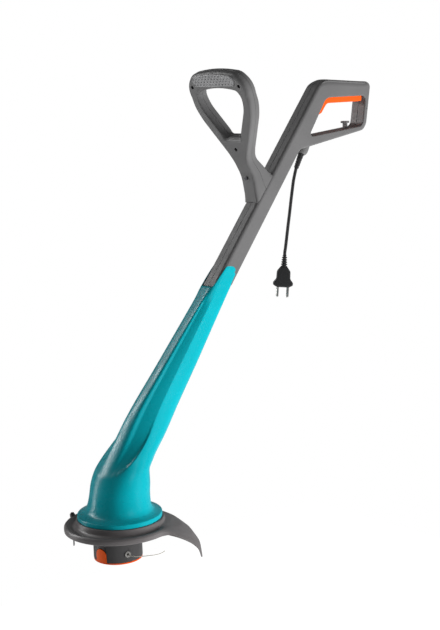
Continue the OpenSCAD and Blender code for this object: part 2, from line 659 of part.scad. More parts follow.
// Free end of the line: out of the eyelet, then trailing to the right
line_route = [[-8.3, -31, 14], [-10.2, -38, 14], [-11.6, -45, 13.8], [-9.5, -52, 13.2], [-3, -58.5, 12.6], [8, -64.5, 11.8], [22, -70, 11],
              [35, -71.5, 10.6], [47, -69, 11]];
module cutting_line() color([0.92, 0.92, 0.88]) place() skin(tube_rings(curve(line_route, 3), 0.7, 8, [0, 0, 1]));

module spool_cover() color(orange) place() difference() {
    union() {
        translate([0, 0, -3]) cylinder(r = head_r - 0.4, h = 2.7);
        ring(cover_wall_out, cover_wall_in, -1, 9);
    }
    translate([0, 0, -5]) cylinder(r = knob_r + 0.8, h = 20);
    at_buttons() block([cover_wall_in - 3, -button_w / 2 - 0.5, -gap], [cover_wall_out + 3, button_w / 2 + 0.5, 12]);
}

// The outside is rounded with the head's wall
module release_button() intersection() {
    button_block(button_w / 2, 0.2, button_h, head_r - head_wall - 4, head_r + 0.8);
    cylinder(r = head_r + 0.8, h = button_h + 1);
}
module release_button_rear() color(orange) place() rotate([0, 0, button_angle]) release_button();
module release_button_front() color(orange) place() rotate([0, 0, 180 + button_angle]) release_button();

spool_low = 4.5;
spool_high = 22;
spool_r = 30;
module tap_knob() color(orange) place() {
    translate([0, 0, -8]) rotate_extrude() polygon([[0, 0], [9, 0], [knob_r - 2, 2], [knob_r, 4.5], [knob_r, 8.4], [knob_r + 2.5, 8.4],
                                                     [knob_r + 2.5, 10.4], [9, 10.4], [9, 15], [0, 15]]);
}

module line_spool() color(dark_grey) place() difference() {
    union() {
        translate([0, 0, spool_low]) cylinder(r = spool_r, h = 2);
        translate([0, 0, spool_low]) cylinder(r = 15, h = spool_high - spool_low);
        translate([0, 0, spool_high - 2]) cylinder(r = spool_r, h = 2);
    }
    translate([0, 0, spool_low - 1]) cylinder(r = 9.06, h = spool_high);
}

module wound_line() color([0.92, 0.92, 0.88]) place() ring(27, 15, spool_low + 2, spool_high - 2);

module spool_spring() color(steel) place() coil_spring(0, spool_high + gap, head_h - 2.5 - 0.1, 11, 0.7, 3);

// ---------- what is shown ----------

housing_shell_left();
housing_shell_right();
handle_shell_left();
handle_shell_right();
front_handle_front_shell();
front_handle_back_shell();
grip_pad();
front_handle_screws();
handle_shell_screws();
housing_screws();
stator_core();
stator_windings();
motor_bracket();
motor_end_cap();
motor_screws();
lower_bearing();
upper_bearing();
brush_holders();
carbon_brushes();
guard();
guard_screws();
line_cutter();
line_cutter_screw();
cord_strain_relief();
cord_clamp();
cord_clamp_screws();
mains_cord();
plug_body();
plug_pins();
switch_body();
capacitor();
trigger_pin();
trigger_spring();
lead_live();
lead_neutral();
extension_cord_hook();
trigger();
switch_plunger();
motor_shaft();
rotor_core();
rotor_windings();
commutator();
cooling_fan();
head_housing();
line_eyelet();
cutting_line();
spool_cover();
release_button_front();
release_button_rear();
tap_knob();
spool_spring();
line_spool();
wound_line();
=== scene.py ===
"""Looks of the corded string trimmer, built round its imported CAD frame.

Shape code works in millimetres from the cutting head: its axis is Z, its wall's lower edge is z = 0 and the
operator stands at +X. to_row() turns such points into the row frame, whose origin is the rear grip.
"""
import json
import math

import bmesh
import bpy
import numpy as np
from mathutils import Matrix, Vector, geometry


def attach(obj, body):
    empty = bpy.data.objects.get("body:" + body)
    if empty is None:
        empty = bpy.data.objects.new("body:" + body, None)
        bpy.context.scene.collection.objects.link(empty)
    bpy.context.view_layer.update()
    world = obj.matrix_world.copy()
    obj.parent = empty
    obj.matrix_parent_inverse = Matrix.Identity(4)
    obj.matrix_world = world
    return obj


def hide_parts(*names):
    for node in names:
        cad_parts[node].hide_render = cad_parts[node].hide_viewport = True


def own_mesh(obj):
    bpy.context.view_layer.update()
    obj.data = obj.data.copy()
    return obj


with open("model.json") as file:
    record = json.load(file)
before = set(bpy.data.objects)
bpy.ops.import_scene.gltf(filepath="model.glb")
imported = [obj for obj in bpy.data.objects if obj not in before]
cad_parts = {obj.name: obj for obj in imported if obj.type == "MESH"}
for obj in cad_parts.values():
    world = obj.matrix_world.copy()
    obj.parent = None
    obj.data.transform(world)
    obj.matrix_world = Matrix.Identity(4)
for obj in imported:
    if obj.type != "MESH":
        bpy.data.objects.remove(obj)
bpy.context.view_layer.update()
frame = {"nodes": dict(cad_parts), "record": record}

GRIP = np.array([580.0, 0.0, 768.0])


def to_row(points):
    return (np.asarray(points, float).reshape(-1, 3) - GRIP) / 1000.0


# ---------------------------------------------------------------- camera and light

# The camera stands 42 degrees round from the side, a little above the rear grip
CAMERA_PLACE = (-1.8962, -1.7440, 0.0439)
CAMERA_RIGHT = Vector((0.7384, -0.6734, -0.0343))
CAMERA_UP = Vector((0.1466, 0.1106, 0.9829))
CAMERA_LENS_MM = 76.0


def set_camera():
    back = CAMERA_RIGHT.cross(CAMERA_UP)
    data = bpy.data.cameras.new("camera")
    data.lens = CAMERA_LENS_MM
    data.clip_start = 0.05
    data.clip_end = 60.0
    camera = bpy.data.objects.new("camera", data)
    turn = Matrix((CAMERA_RIGHT, CAMERA_UP, back)).transposed().to_4x4()
    camera.matrix_world = Matrix.Translation(CAMERA_PLACE) @ turn
    bpy.context.scene.collection.objects.link(camera)
    bpy.context.scene.camera = camera


def area_light(name, place, target, size, power, diffuse=True, glossy=True):
    """A softbox: place, target and size in metres, power in watts."""
    data = bpy.data.lights.new(name, "AREA")
    data.shape = "RECTANGLE"
    data.size, data.size_y = size
    data.energy = power
    lamp = bpy.data.objects.new(name, data)
    lamp.location = place
    lamp.visible_camera = False
    lamp.visible_diffuse = diffuse
    lamp.visible_glossy = glossy
    direction = Vector(target) - Vector(place)
    lamp.rotation_mode = "QUATERNION"
    lamp.rotation_quaternion = direction.to_track_quat("-Z", "Y")
    bpy.context.scene.collection.objects.link(lamp)


def set_lights():
    middle = (-0.25, 0.0, -0.35)
    area_light("side_softbox", (0.7, -2.1, -0.85), middle, (1.2, 1.4), 90, glossy=False)
    area_light("edge_softbox", (-1.8, 1.9, -0.3), middle, (0.5, 2.2), 26)
    area_light("nose_strip", (-1.41, 1.9, 0.96), (-0.45, 0.0, -0.5), (0.3, 1.7), 42, diffuse=False)
    area_light("front_card", (-0.6, -2.4, 0.3), middle, (0.8, 0.8), 5, diffuse=False)


def set_world():
    """White where the camera sees it, and a soft grey from left to right as light."""
    world = bpy.data.worlds.new("studio")
    world.use_nodes = True
    tree = world.node_tree
    tree.nodes.clear()
    coordinates = tree.nodes.new("ShaderNodeTexCoord")
    along = tree.nodes.new("ShaderNodeVectorMath")
    along.operation = "DOT_PRODUCT"
    along.inputs[1].default_value = (0.85, -0.5, 0.2)
    ramp = tree.nodes.new("ShaderNodeValToRGB")
    ramp.color_ramp.elements[0].position = 0.0
    ramp.color_ramp.elements[0].color = (0.17, 0.17, 0.17, 1)
    ramp.color_ramp.elements[1].position = 0.9
    ramp.color_ramp.elements[1].color = (0.38, 0.38, 0.38, 1)
    lit = tree.nodes.new("ShaderNodeBackground")
    seen = tree.nodes.new("ShaderNodeBackground")
    seen.inputs["Color"].default_value = (1, 1, 1, 1)
    rays = tree.nodes.new("ShaderNodeLightPath")
    background = tree.nodes.new("ShaderNodeMixShader")
    tree.links.new(rays.outputs["Is Camera Ray"], background.inputs["Fac"])
    tree.links.new(lit.outputs["Background"], background.inputs[1])
    tree.links.new(seen.outputs["Background"], background.inputs[2])
    output = tree.nodes.new("ShaderNodeOutputWorld")
    tree.links.new(coordinates.outputs["Generated"], along.inputs[0])
    tree.links.new(along.outputs["Value"], ramp.inputs["Fac"])
    tree.links.new(ramp.outputs["Color"], lit.inputs["Color"])
    tree.links.new(background.outputs["Shader"], output.inputs["Surface"])
    scene = bpy.context.scene
    scene.world = world
    scene.view_settings.view_transform = "Standard"
    scene.view_settings.look = "None"


# ---------------------------------------------------------------- materials

# Where a noise texture's values mostly lie
NOISE_LOW, NOISE_HIGH = 0.3, 0.7


class Shader:
    """A node material with one Principled shader and object coordinates."""

    def __init__(self, name):
        self.material = bpy.data.materials.new(name)
        self.material.use_nodes = True
        self.tree = self.material.node_tree
        self.bsdf = self.tree.nodes["Principled BSDF"]
        self.coordinates = self.tree.nodes.new("ShaderNodeTexCoord").outputs["Object"]

    def noise(self, size_mm, detail=3.0, stretch=None):
        source = self.coordinates
        if stretch:
            mapping = self.tree.nodes.new("ShaderNodeMapping")
            mapping.inputs["Scale"].default_value = stretch
            self.tree.links.new(source, mapping.inputs["Vector"])
            source = mapping.outputs["Vector"]
        node = self.tree.nodes.new("ShaderNodeTexNoise")
        node.inputs["Scale"].default_value = 1000.0 / size_mm
        node.inputs["Detail"].default_value = detail
        self.tree.links.new(source, node.inputs["Vector"])
        return node.outputs["Fac"]

    def ramp(self, source, low, high):
        """Colour between two ends of a noise."""
        node = self.tree.nodes.new("ShaderNodeValToRGB")
        first, last = node.color_ramp.elements
        first.position, last.position = NOISE_LOW, NOISE_HIGH
        first.color, last.color = (*low, 1), (*high, 1)
        self.tree.links.new(source, node.inputs["Fac"])
        return node.outputs["Color"]

    def spread(self, source, low, high):
        """Number between two ends of a noise."""
        node = self.tree.nodes.new("ShaderNodeMapRange")
        node.inputs["From Min"].default_value = NOISE_LOW
        node.inputs["From Max"].default_value = NOISE_HIGH
        node.inputs["To Min"].default_value = low
        node.inputs["To Max"].default_value = high
        self.tree.links.new(source, node.inputs["Value"])
        return node.outputs["Result"]

    def bump(self, source, height_mm):
        node = self.tree.nodes.new("ShaderNodeBump")
        node.inputs["Distance"].default_value = height_mm / 1000.0
        node.inputs["Strength"].default_value = 1.0
        self.tree.links.new(source, node.inputs["Height"])
        self.tree.links.new(node.outputs["Normal"], self.bsdf.inputs["Normal"])

    def colour(self, output):
        self.tree.links.new(output, self.bsdf.inputs["Base Color"])

    def roughness(self, output):
        self.tree.links.new(output, self.bsdf.inputs["Roughness"])


PLASTIC_BLOTCH_MM, PLASTIC_WEAR_MM, METAL_WEAR_MM = 70, 25, 6


def shade(colour, factor):
    return tuple(min(1.0, c * factor) for c in colour)


def plastic(name, colour, rough=0.45, grain_mm=0.9, grain_height=0.012, tone=0.07, shine=0.3):
    """Moulded plastic: fine spark-eroded grain, slightly uneven colour and wear in the sheen."""
    s = Shader(name)
    s.colour(s.ramp(s.noise(PLASTIC_BLOTCH_MM, 4), shade(colour, 1 - tone), shade(colour, 1 + tone)))
    s.roughness(s.spread(s.noise(PLASTIC_WEAR_MM, 5), rough - 0.05, rough + 0.07))
    s.bump(s.noise(grain_mm, 2), grain_height)
    s.bsdf.inputs["Specular IOR Level"].default_value = shine
    return s.material


def metal(name, colour, rough=0.3, stretch=(1, 1, 0.08), grain_mm=1.2, tone=0.1):
    """Drawn or turned metal: streaks along one way and patchy sheen."""
    s = Shader(name)
    streaks = s.noise(grain_mm, 3, stretch)
    s.colour(s.ramp(streaks, shade(colour, 1 - tone), shade(colour, 1 + tone)))
    s.roughness(s.spread(s.noise(METAL_WEAR_MM, 4), rough - 0.08, rough + 0.1))
    s.bump(streaks, 0.01)
    s.bsdf.inputs["Metallic"].default_value = 1.0
    return s.material


def monofilament(name, colour):
    s = Shader(name)
    s.colour(s.ramp(s.noise(12, 2), shade(colour, 0.9), shade(colour, 1.0)))
    s.roughness(s.spread(s.noise(2, 2), 0.25, 0.4))
    s.bump(s.noise(0.5, 2), 0.01)
    return s.material


TURQUOISE = (0.0, 0.335, 0.395)
GREY = (0.118, 0.117, 0.118)
MATERIALS = {
    "turquoise_plastic": plastic("turquoise_plastic", TURQUOISE, 0.27, grain_height=0.001, tone=0.05,
                                 shine=0.16),
    "grey_plastic": plastic("grey_plastic", GREY, 0.46, grain_mm=1.3, grain_height=0.004),
    "dark_plastic": plastic("dark_plastic", (0.118, 0.110, 0.111), 0.4, grain_height=0.015, tone=0.12),
    "black_plastic": plastic("black_plastic", (0.044, 0.043, 0.044), 0.38, grain_height=0.012, tone=0.12),
    "orange_plastic": plastic("orange_plastic", (0.68, 0.088, 0.01), 0.4, grain_height=0.01, shine=0.12),
    "red_plastic": plastic("red_plastic", (0.65, 0.03, 0.02), 0.35),
    "soft_grip": plastic("soft_grip", (0.27, 0.27, 0.275), 0.42, grain_mm=0.5, grain_height=0.006, tone=0.1),
    "black_rubber": plastic("black_rubber", (0.022, 0.022, 0.023), 0.5, grain_height=0.012, tone=0.18),
    "steel": metal("steel", (0.62, 0.63, 0.65)),
    "spring_steel": metal("spring_steel", (0.5, 0.5, 0.52), 0.25),
    "lamination_steel": metal("lamination_steel", (0.33, 0.33, 0.35), 0.45, (0.02, 0.02, 1), 0.7, 0.3),
    "copper_wire": metal("copper_wire", (0.72, 0.3, 0.12), 0.35, (1, 1, 0.1), 0.8, 0.3),
    "copper_bar": metal("copper_bar", (0.8, 0.42, 0.22), 0.3),
    "brass_part": metal("brass_part", (0.8, 0.6, 0.26), 0.3),
    "zinc_casting": metal("zinc_casting", (0.55, 0.56, 0.58), 0.5, (1, 1, 1), 2.0),
    "carbon": plastic("carbon", (0.03, 0.03, 0.032), 0.6, tone=0.2),
    "nickel_plated": metal("nickel_plated", (0.6, 0.59, 0.57), 0.25, tone=0.08),
    "brown_insulation": plastic("brown_insulation", (0.2, 0.07, 0.025), 0.4),
    "blue_insulation": plastic("blue_insulation", (0.03, 0.1, 0.45), 0.4),
    "yellow_film": plastic("yellow_film", (0.75, 0.52, 0.05), 0.35),
    "nylon_line": monofilament("nylon_line", (0.42, 0.4, 0.35)),
}
# Steel darkened with painted shade for the screws and the line cutter, so that the screws in their recesses
# read as dark holes
STEEL_PAINTED_SHADE = metal("steel_painted_shade", (0.05, 0.05, 0.055), 0.55)
PAINTED_SHADE_STEEL_NODES = ("front_handle_screws", "handle_shell_screws", "housing_screws", "line_cutter_screw",
                    "line_cutter")
SLOT_OF = {row["node"]: row["material_slot"] for row in frame["record"]["subparts"]}


# ---------------------------------------------------------------- mesh helpers

SHARP_DEG = 38
MERGE_M = 2e-6


def row_mesh(name, points, faces):
    """A Blender mesh from points in millimetres."""
    mesh = bpy.data.meshes.new(name)
    mesh.from_pydata([tuple(p) for p in to_row(points)], [], [tuple(int(i) for i in f) for f in faces])
    return mesh


def make_piece(name, points, faces, body, slot, replaces, sharp_deg=SHARP_DEG, levels=0):
    """A mesh from points in millimetres that rides on a body; sharp_deg is where shading breaks."""
    mesh = row_mesh(name, points, faces)
    b = bmesh.new()
    b.from_mesh(mesh)
    bmesh.ops.remove_doubles(b, verts=b.verts, dist=MERGE_M)
    bmesh.ops.dissolve_degenerate(b, dist=MERGE_M / 2, edges=b.edges)
    bmesh.ops.recalc_face_normals(b, faces=b.faces)
    b.to_mesh(mesh)
    b.free()
    mesh.validate()
    piece = bpy.data.objects.new(name, mesh)
    bpy.context.scene.collection.objects.link(piece)
    finish_piece(piece, sharp_deg, levels)
    mesh.materials.append(MATERIALS[slot])
    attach(piece, body)
    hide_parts(*replaces)
    return piece


def finish_piece(piece, sharp_deg, levels):
    mesh = piece.data
    mesh.shade_smooth()
    mesh.set_sharp_from_angle(angle=math.radians(sharp_deg))
    if levels:
        subdivide = piece.modifiers.new("smooth", "SUBSURF")
        subdivide.levels = subdivide.render_levels = levels
    weighted = piece.modifiers.new("weighted", "WEIGHTED_NORMAL")
    weighted.keep_sharp = True


def cut(piece, cutters):
    """Takes the cutters' solids away from a piece's mesh."""
    piece.modifiers.clear()
    for cutter in cutters:
        boolean = piece.modifiers.new("cut", "BOOLEAN")
        boolean.operation = "DIFFERENCE"
        boolean.solver = "EXACT"
        boolean.object = cutter
    bpy.context.view_layer.update()
    graph = bpy.context.evaluated_depsgraph_get()
    mesh = bpy.data.meshes.new_from_object(piece.evaluated_get(graph))
    piece.modifiers.clear()
    slot_material = piece.data.materials[0]
    piece.data = mesh
    mesh.materials.clear()
    mesh.materials.append(slot_material)
    for cutter in cutters:
        bpy.data.objects.remove(cutter)
    finish_piece(piece, SHARP_DEG, 0)


def cutter(points, faces):
    """A loose solid for cut() to take away."""
    mesh = row_mesh("cutter", points, faces)
    b = bmesh.new()
    b.from_mesh(mesh)
    bmesh.ops.recalc_face_normals(b, faces=b.faces)
    b.to_mesh(mesh)
    b.free()
    solid = bpy.data.objects.new("cutter", mesh)
    bpy.context.scene.collection.objects.link(solid)
    return solid


def grid_faces(rows, columns, closed_rows=False, closed_columns=True, start=0):
    """Four-sided faces of a grid of points, whose first point has the number start."""
    faces = []
    for i in range(rows if closed_rows else rows - 1):
        for j in range(columns if closed_columns else columns - 1):
            low, high = start + i * columns, start + ((i + 1) % rows) * columns
            next_j = (j + 1) % columns
            faces.append((low + j, low + next_j, high + next_j, high + j))
    return faces


def unit(v):
    v = np.asarray(v, float)
    return v / np.linalg.norm(v)


def frame_of(axis):
    """Two unit vectors square to an axis."""
    axis = unit(axis)
    side = unit(np.cross(axis, (0, 1, 0) if abs(axis[1]) < 0.9 else (1, 0, 0)))
    return side, np.cross(axis, side)


def lathe(profile, base, axis, sides=64, closed=False):
    """Points and faces of a turned shape; profile rows are (radius, distance along the axis)."""
    side, other = frame_of(axis)
    points = []
    for radius, along in profile:
        for k in range(sides):
            a = 2 * math.pi * k / sides
            ring = math.cos(a) * side + math.sin(a) * other
            points.append(np.asarray(base, float) + unit(axis) * along + radius * ring)
    faces = grid_faces(len(profile), sides, closed_rows=closed)
    if not closed:
        faces.append(tuple(range(sides)))
        faces.append(tuple(range((len(profile) - 1) * sides, len(profile) * sides)))
    return points, faces


def tube(path, radius, sides, side_axis=(0, 1, 0)):
    """A round tube through a path of points."""
    path = np.asarray(path, float)
    points = []
    for i in range(len(path)):
        along = unit(path[min(i + 1, len(path) - 1)] - path[max(i - 1, 0)])
        side = unit(np.cross(side_axis, along))
        other = np.cross(along, side)
        for k in range(sides):
            a = 2 * math.pi * k / sides
            points.append(path[i] + radius * (math.cos(a) * side + math.sin(a) * other))
    faces = grid_faces(len(path), sides)
    faces += [tuple(range(sides)), tuple(range((len(path) - 1) * sides, len(path) * sides))]
    return points, faces


def catmull(points, steps):
    """Smooth curve through points, closed ends."""
    p = np.asarray(points, float)
    n = len(p) - 1
    made = []
    for i in range(n):
        a, b, c, d = p[max(i - 1, 0)], p[i], p[i + 1], p[min(i + 2, n)]
        for k in range(steps):
            t = k / steps
            square, cube = 2 * a - 5 * b + 4 * c - d, 3 * b - a - 3 * c + d
            made.append(0.5 * (2 * b + (c - a) * t + square * t**2 + cube * t**3))
    made.append(p[n])
    return np.array(made)


ARC_STEPS = 12


def rounded(corners):
    """Corner rows (x, y, radius), anticlockwise, as a polygon with round corners."""
    c = [np.array(row[:2], float) for row in corners]
    radii = [row[2] for row in corners]
    n = len(c)
    points = []
    for i in range(n):
        u, v = unit(c[i] - c[i - 1]), unit(c[(i + 1) % n] - c[i])
        cross = u[0] * v[1] - u[1] * v[0]
        side = 1 if cross >= 0 else -1
        turn = math.acos(max(-1.0, min(1.0, float(u @ v))))
        r = radii[i]
        start = c[i] - u * r * math.tan(turn / 2)
        middle = start + side * r * np.array([-u[1], u[0]])
        arm = start - middle
        for k in range(ARC_STEPS + 1):
            w = side * turn * k / ARC_STEPS
            cos, sin = math.cos(w), math.sin(w)
            points.append(middle + [arm[0] * cos - arm[1] * sin, arm[0] * sin + arm[1] * cos])
    return np.array(points)


def resample(loop, spacing):
    """A closed loop at even spacing."""
    p = np.vstack([loop, loop[:1]])
    gaps = np.linalg.norm(np.diff(p, axis=0), axis=1)
    along = np.concatenate([[0], np.cumsum(gaps)])
    count = max(12, int(round(along[-1] / spacing)))
    at = np.linspace(0, along[-1], count, endpoint=False)
    return np.column_stack([np.interp(at, along, p[:, 0]), np.interp(at, along, p[:, 1])])


def loop_normals(loop):
    """Outward normals of an anticlockwise loop."""
    tangent = np.roll(loop, -1, axis=0) - np.roll(loop, 1, axis=0)
    tangent /= np.linalg.norm(tangent, axis=1)[:, None]
    return np.column_stack([tangent[:, 1], -tangent[:, 0]])


def inside(points, loop):
    """Which points lie inside a closed loop."""
    x, y = points[:, 0], points[:, 1]
    found = np.zeros(len(points), bool)
    for (x1, y1), (x2, y2) in zip(loop, np.roll(loop, -1, axis=0)):
        crosses = (y1 > y) != (y2 > y)
        with np.errstate(divide="ignore", invalid="ignore"):
            at = (x2 - x1) * (y - y1) / (y2 - y1) + x1
        found ^= crosses & (x < at)
    return found


def smooth_round(values, passes):
    """Smooths numbers that go round a loop."""
    values = np.array(values, float)
    for _ in range(passes):
        values = (np.roll(values, 1) + 2 * values + np.roll(values, -1)) / 4
    return values


def limited_radii(loop, wanted, sign):
    """Fillet radii no larger than the loop's own curvature allows (sign 1 insets, -1 goes outwards)."""
    before, after = loop - np.roll(loop, 1, axis=0), np.roll(loop, -1, axis=0) - loop
    turn = np.arctan2(before[:, 0] * after[:, 1] - before[:, 1] * after[:, 0], (before * after).sum(1))
    length = (np.linalg.norm(before, axis=1) + np.linalg.norm(after, axis=1)) / 2
    curvature = smooth_round(turn / length, 2) * sign
    room = np.where(curvature > 1e-4, 0.85 / np.maximum(curvature, 1e-4), 1e3)
    tight = np.minimum(wanted, room)
    spread_min = tight.copy()
    for shift in range(-3, 4):
        spread_min = np.minimum(spread_min, np.roll(tight, shift))
    return np.minimum(smooth_round(spread_min, 6), tight)


class Mesh2D:
    """Collects points made by place(point, depth) so that loops and fills share vertices."""

    def __init__(self, place):
        self.place = place
        self.points = []
        self.flat = []
        self.faces = []

    def ring(self, loop, depth):
        start = len(self.points)
        depths = np.broadcast_to(depth, (len(loop),))
        for p, h in zip(loop, depths):
            self.points.append(self.place(p, float(h)))
            self.flat.append(np.array(p, float))
        return list(range(start, start + len(loop)))

    def join(self, a, b):
        n = len(a)
        for i in range(n):
            self.faces.append((a[i], a[(i + 1) % n], b[(i + 1) % n], b[i]))

    def fill(self, outer, hole, depth, spacing):
        """Triangles between two rings, with inner points at even spacing."""
        outline = np.array([self.flat[i] for i in outer])
        holes = np.array([self.flat[i] for i in hole]) if hole else None
        low, high = outline.min(0), outline.max(0)
        xs, ys = np.arange(low[0], high[0], spacing), np.arange(low[1], high[1], spacing)
        grid = np.array([(x + (spacing / 2 if j % 2 else 0), y) for j, y in enumerate(ys) for x in xs])
        keep = inside(grid, outline)
        edge = outline
        if hole:
            keep &= ~inside(grid, holes)
            edge = np.vstack([outline, holes])
        grid = grid[keep]
        if len(grid):
            near = np.array([np.min(np.sum((edge - g) ** 2, axis=1)) for g in grid])
            grid = grid[near > (0.6 * spacing) ** 2]
        ids = list(outer) + (list(hole) if hole else [])
        fixed = [Vector(self.flat[i]) for i in ids]
        edges = [(i, (i + 1) % len(outer)) for i in range(len(outer))]
        if hole:
            m = len(outer)
            edges += [(m + i, m + (i + 1) % len(hole)) for i in range(len(hole))]
        result = geometry.delaunay_2d_cdt(fixed + [Vector(g) for g in grid], edges, [], 0, 1e-5, True)
        out_points, _, triangles, originals = result[0], result[1], result[2], result[3]
        index = []
        for p, source in zip(out_points, originals):
            if source and source[0] < len(ids):
                index.append(ids[source[0]])
            else:
                index.append(len(self.points))
                self.flat.append(np.array(p, float))
                self.points.append(self.place(np.array(p, float), depth))
        centres = np.array([np.mean([self.flat[index[v]] for v in t], axis=0) for t in triangles])
        good = inside(centres, outline)
        if hole:
            good &= ~inside(centres, holes)
        self.faces += [tuple(index[v] for v in t) for t, g in zip(triangles, good) if g]


FILLET_STEPS, SLAB_STEPS, PARTING_GROOVE = 8, 6, 0.4


def half_shell(outer, outer_r, hole, hole_r, depth, wall, place, spacing=12.0):
    """One moulded half: filleted outside, hollow inside, with a fine groove along the parting line."""
    m = Mesh2D(place)
    n_out = loop_normals(outer)

    def side(loop, normals, radii, sign):
        rings = [m.ring(loop - sign * PARTING_GROOVE * normals, 0.0), m.ring(loop, PARTING_GROOVE)]
        rings.append(m.ring(loop, (depth - radii) * 0.5))
        for k in range(FILLET_STEPS + 1):
            a = 0.5 * math.pi * k / FILLET_STEPS
            rings.append(m.ring(loop - sign * (radii * (1 - math.cos(a)))[:, None] * normals,
                                depth - radii * (1 - math.sin(a))))
        for a, b in zip(rings, rings[1:]):
            m.join(a, b)
        return rings[0], rings[-1]

    outer_low, outer_high = side(outer, n_out, outer_r, 1)
    cavity = outer - wall * n_out
    cavity_low, cavity_high = m.ring(cavity, 0.0), m.ring(cavity, depth - wall)
    m.join(outer_low, cavity_low)
    m.join(cavity_low, cavity_high)
    n_hole = loop_normals(hole)
    hole_low, hole_high = side(hole, n_hole, hole_r, -1)
    m.fill(outer_high, hole_high, depth, spacing)
    collar = hole + wall * n_hole
    collar_low, collar_high = m.ring(collar, 0.0), m.ring(collar, depth - wall)
    m.join(hole_low, collar_low)
    m.join(collar_low, collar_high)
    m.fill(cavity_high, collar_high, depth - wall, spacing)
    return m


def slab(outline, radius, depth, place, spacing):
    """A solid plate, depth each side of its middle plane, with rounded edges."""
    m = Mesh2D(place)
    normals = loop_normals(outline)
    radii = limited_radii(outline, np.full(len(outline), radius), 1)
    rings = []
    for side in (-1, 1):
        steps = range(SLAB_STEPS + 1) if side == 1 else range(SLAB_STEPS, -1, -1)
        for k in steps:
            a = 0.5 * math.pi * k / SLAB_STEPS
            rings.append(m.ring(outline - (radii * (1 - math.cos(a)))[:, None] * normals,
                                side * (depth - radii * (1 - math.sin(a)))))
    for a, b in zip(rings, rings[1:]):
        m.join(a, b)
    m.fill(rings[0], None, -depth, spacing)
    m.fill(rings[-1], None, depth, spacing)
    return m


def joined(*parts):
    """Several (points, faces) pairs as one."""
    points, faces = [], []
    for p, f in parts:
        start = len(points)
        points += list(p)
        faces += [tuple(start + i for i in face) for face in f]
    return points, faces


# ---------------------------------------------------------------- mains cord, strain relief and plug

CORD_D = 6.0
CORD_EXIT = np.array([479.0, 0.0, 668.0])
CORD_DIR = unit((-22, 0, -40))
CORD_HOLE_R = 3.02
RELIEF_LENGTH, RELIEF_RIBS, RELIEF_INSIDE = 44.0, 8, 7.0
NECK_RIBS, NECK_RIB_PITCH = 5, 4.2
PIN_OFFSET, PIN_R = 9.5, 2.4
PLUG_TOP = np.array([421.8, 0.0, 470.0])
PLUG_TILT = math.radians(7)
PLUG_TURN = math.radians(-42)
# The cord's route in metres, in the row frame
CORD_ROUTE = [(-0.1222, 0, -0.1386), (-0.1250, 0, -0.1460), (-0.1300, 0, -0.1610), (-0.1338, 0, -0.1780),
              (-0.1372, 0, -0.1940), (-0.1404, 0, -0.2100), (-0.1436, 0, -0.2260), (-0.1470, 0, -0.2420),
              (-0.1502, 0, -0.2580), (-0.1534, 0, -0.2740), (-0.1560, 0, -0.2860), (-0.1575, 0, -0.2920),
              (-0.1582, 0, -0.2980)]


def plug_point(x, y, z):
    """A point of the plug: x across its flat body, y through it, z up from the bottom of the neck's top."""
    across = x * math.cos(PLUG_TURN) - y * math.sin(PLUG_TURN)
    sideways = x * math.sin(PLUG_TURN) + y * math.cos(PLUG_TURN)
    tilted = (across * math.cos(PLUG_TILT) + z * math.sin(PLUG_TILT), sideways,
              -across * math.sin(PLUG_TILT) + z * math.cos(PLUG_TILT))
    return PLUG_TOP + tilted


def make_cord():
    route = catmull(CORD_ROUTE, 3)
    points, faces = tube(route * 1000 + GRIP, CORD_D / 2, 20)
    cord = make_piece("mains_cord_flex", points, faces, "main", "black_rubber", ["mains_cord"])

    make_strain_relief()
    plug = make_plug()
    pins = make_plug_pins()


def make_strain_relief():
    profile = [(6.9, -RELIEF_INSIDE), (6.9, -3.2), (6.3, -3.0)]
    pitch = (RELIEF_LENGTH - 5) / RELIEF_RIBS
    for k in range(RELIEF_RIBS):
        start = 1.0 + k * pitch
        rib_r = 6.2 - 1.8 * start / RELIEF_LENGTH
        profile += [(rib_r, start), (rib_r, start + pitch * 0.62), (rib_r - 0.35, start + pitch * 0.68),
                    (rib_r - 0.9, start + pitch * 0.70), (rib_r - 0.9, start + pitch * 0.93),
                    (rib_r - 0.3, start + pitch * 0.97)]
    profile += [(4.5, RELIEF_LENGTH - 4), (4.4, RELIEF_LENGTH - 0.8), (3.9, RELIEF_LENGTH)]
    profile += [(CORD_HOLE_R, RELIEF_LENGTH), (CORD_HOLE_R, -RELIEF_INSIDE)]
    points, faces = lathe(profile, CORD_EXIT, CORD_DIR, 48, closed=True)
    make_piece("strain_relief_ribbed", points, faces, "main", "black_rubber", ["cord_strain_relief"])


def plug_axis():
    return plug_point(0, 0, 1) - PLUG_TOP


def make_plug():
    right = [(11, -60, 2.5), (18.5, -56, 3), (18.5, -51, 2.5), (13, -44, 6), (12.6, -30, 8), (6, -21, 4)]
    outline = rounded(right + [(-x, z, r) for x, z, r in reversed(right)])
    body = slab(resample(outline, 0.9), 3.2, 6.8, lambda p, h: plug_point(p[0], h, p[1]), 5.0)
    neck = [(4.2, -30.0), (6.2, -25.0)]
    for k in range(NECK_RIBS):
        radius, start = 6.2 - 0.35 * k, -22.5 + NECK_RIB_PITCH * k
        neck += [(radius - 0.5, start), (radius, start + 0.6), (radius, start + 1.9),
                 (radius - 0.5, start + 2.5),
                 (radius - 2.1, start + 2.7), (radius - 2.1, start + 4.0)]
    neck += [(3.9, -1.6), (3.7, -0.2), (CORD_HOLE_R, 0.0)]
    points, faces = joined((body.points, body.faces), lathe(neck, PLUG_TOP, plug_axis(), 40))
    return make_piece("plug_moulded", points, faces, "main", "black_rubber", ["plug_body"])


def make_plug_pins():
    pin = [(0.3, -79.0), (1.4, -78.8), (2.1, -78.0), (PIN_R, -76.6), (PIN_R, -52.0)]
    parts = [lathe(pin, plug_point(x, 0, 0), plug_axis(), 32) for x in (-PIN_OFFSET, PIN_OFFSET)]
    points, faces = joined(*parts)
    return make_piece("plug_pin_pair", points, faces, "main", "nickel_plated", ["plug_pins"])


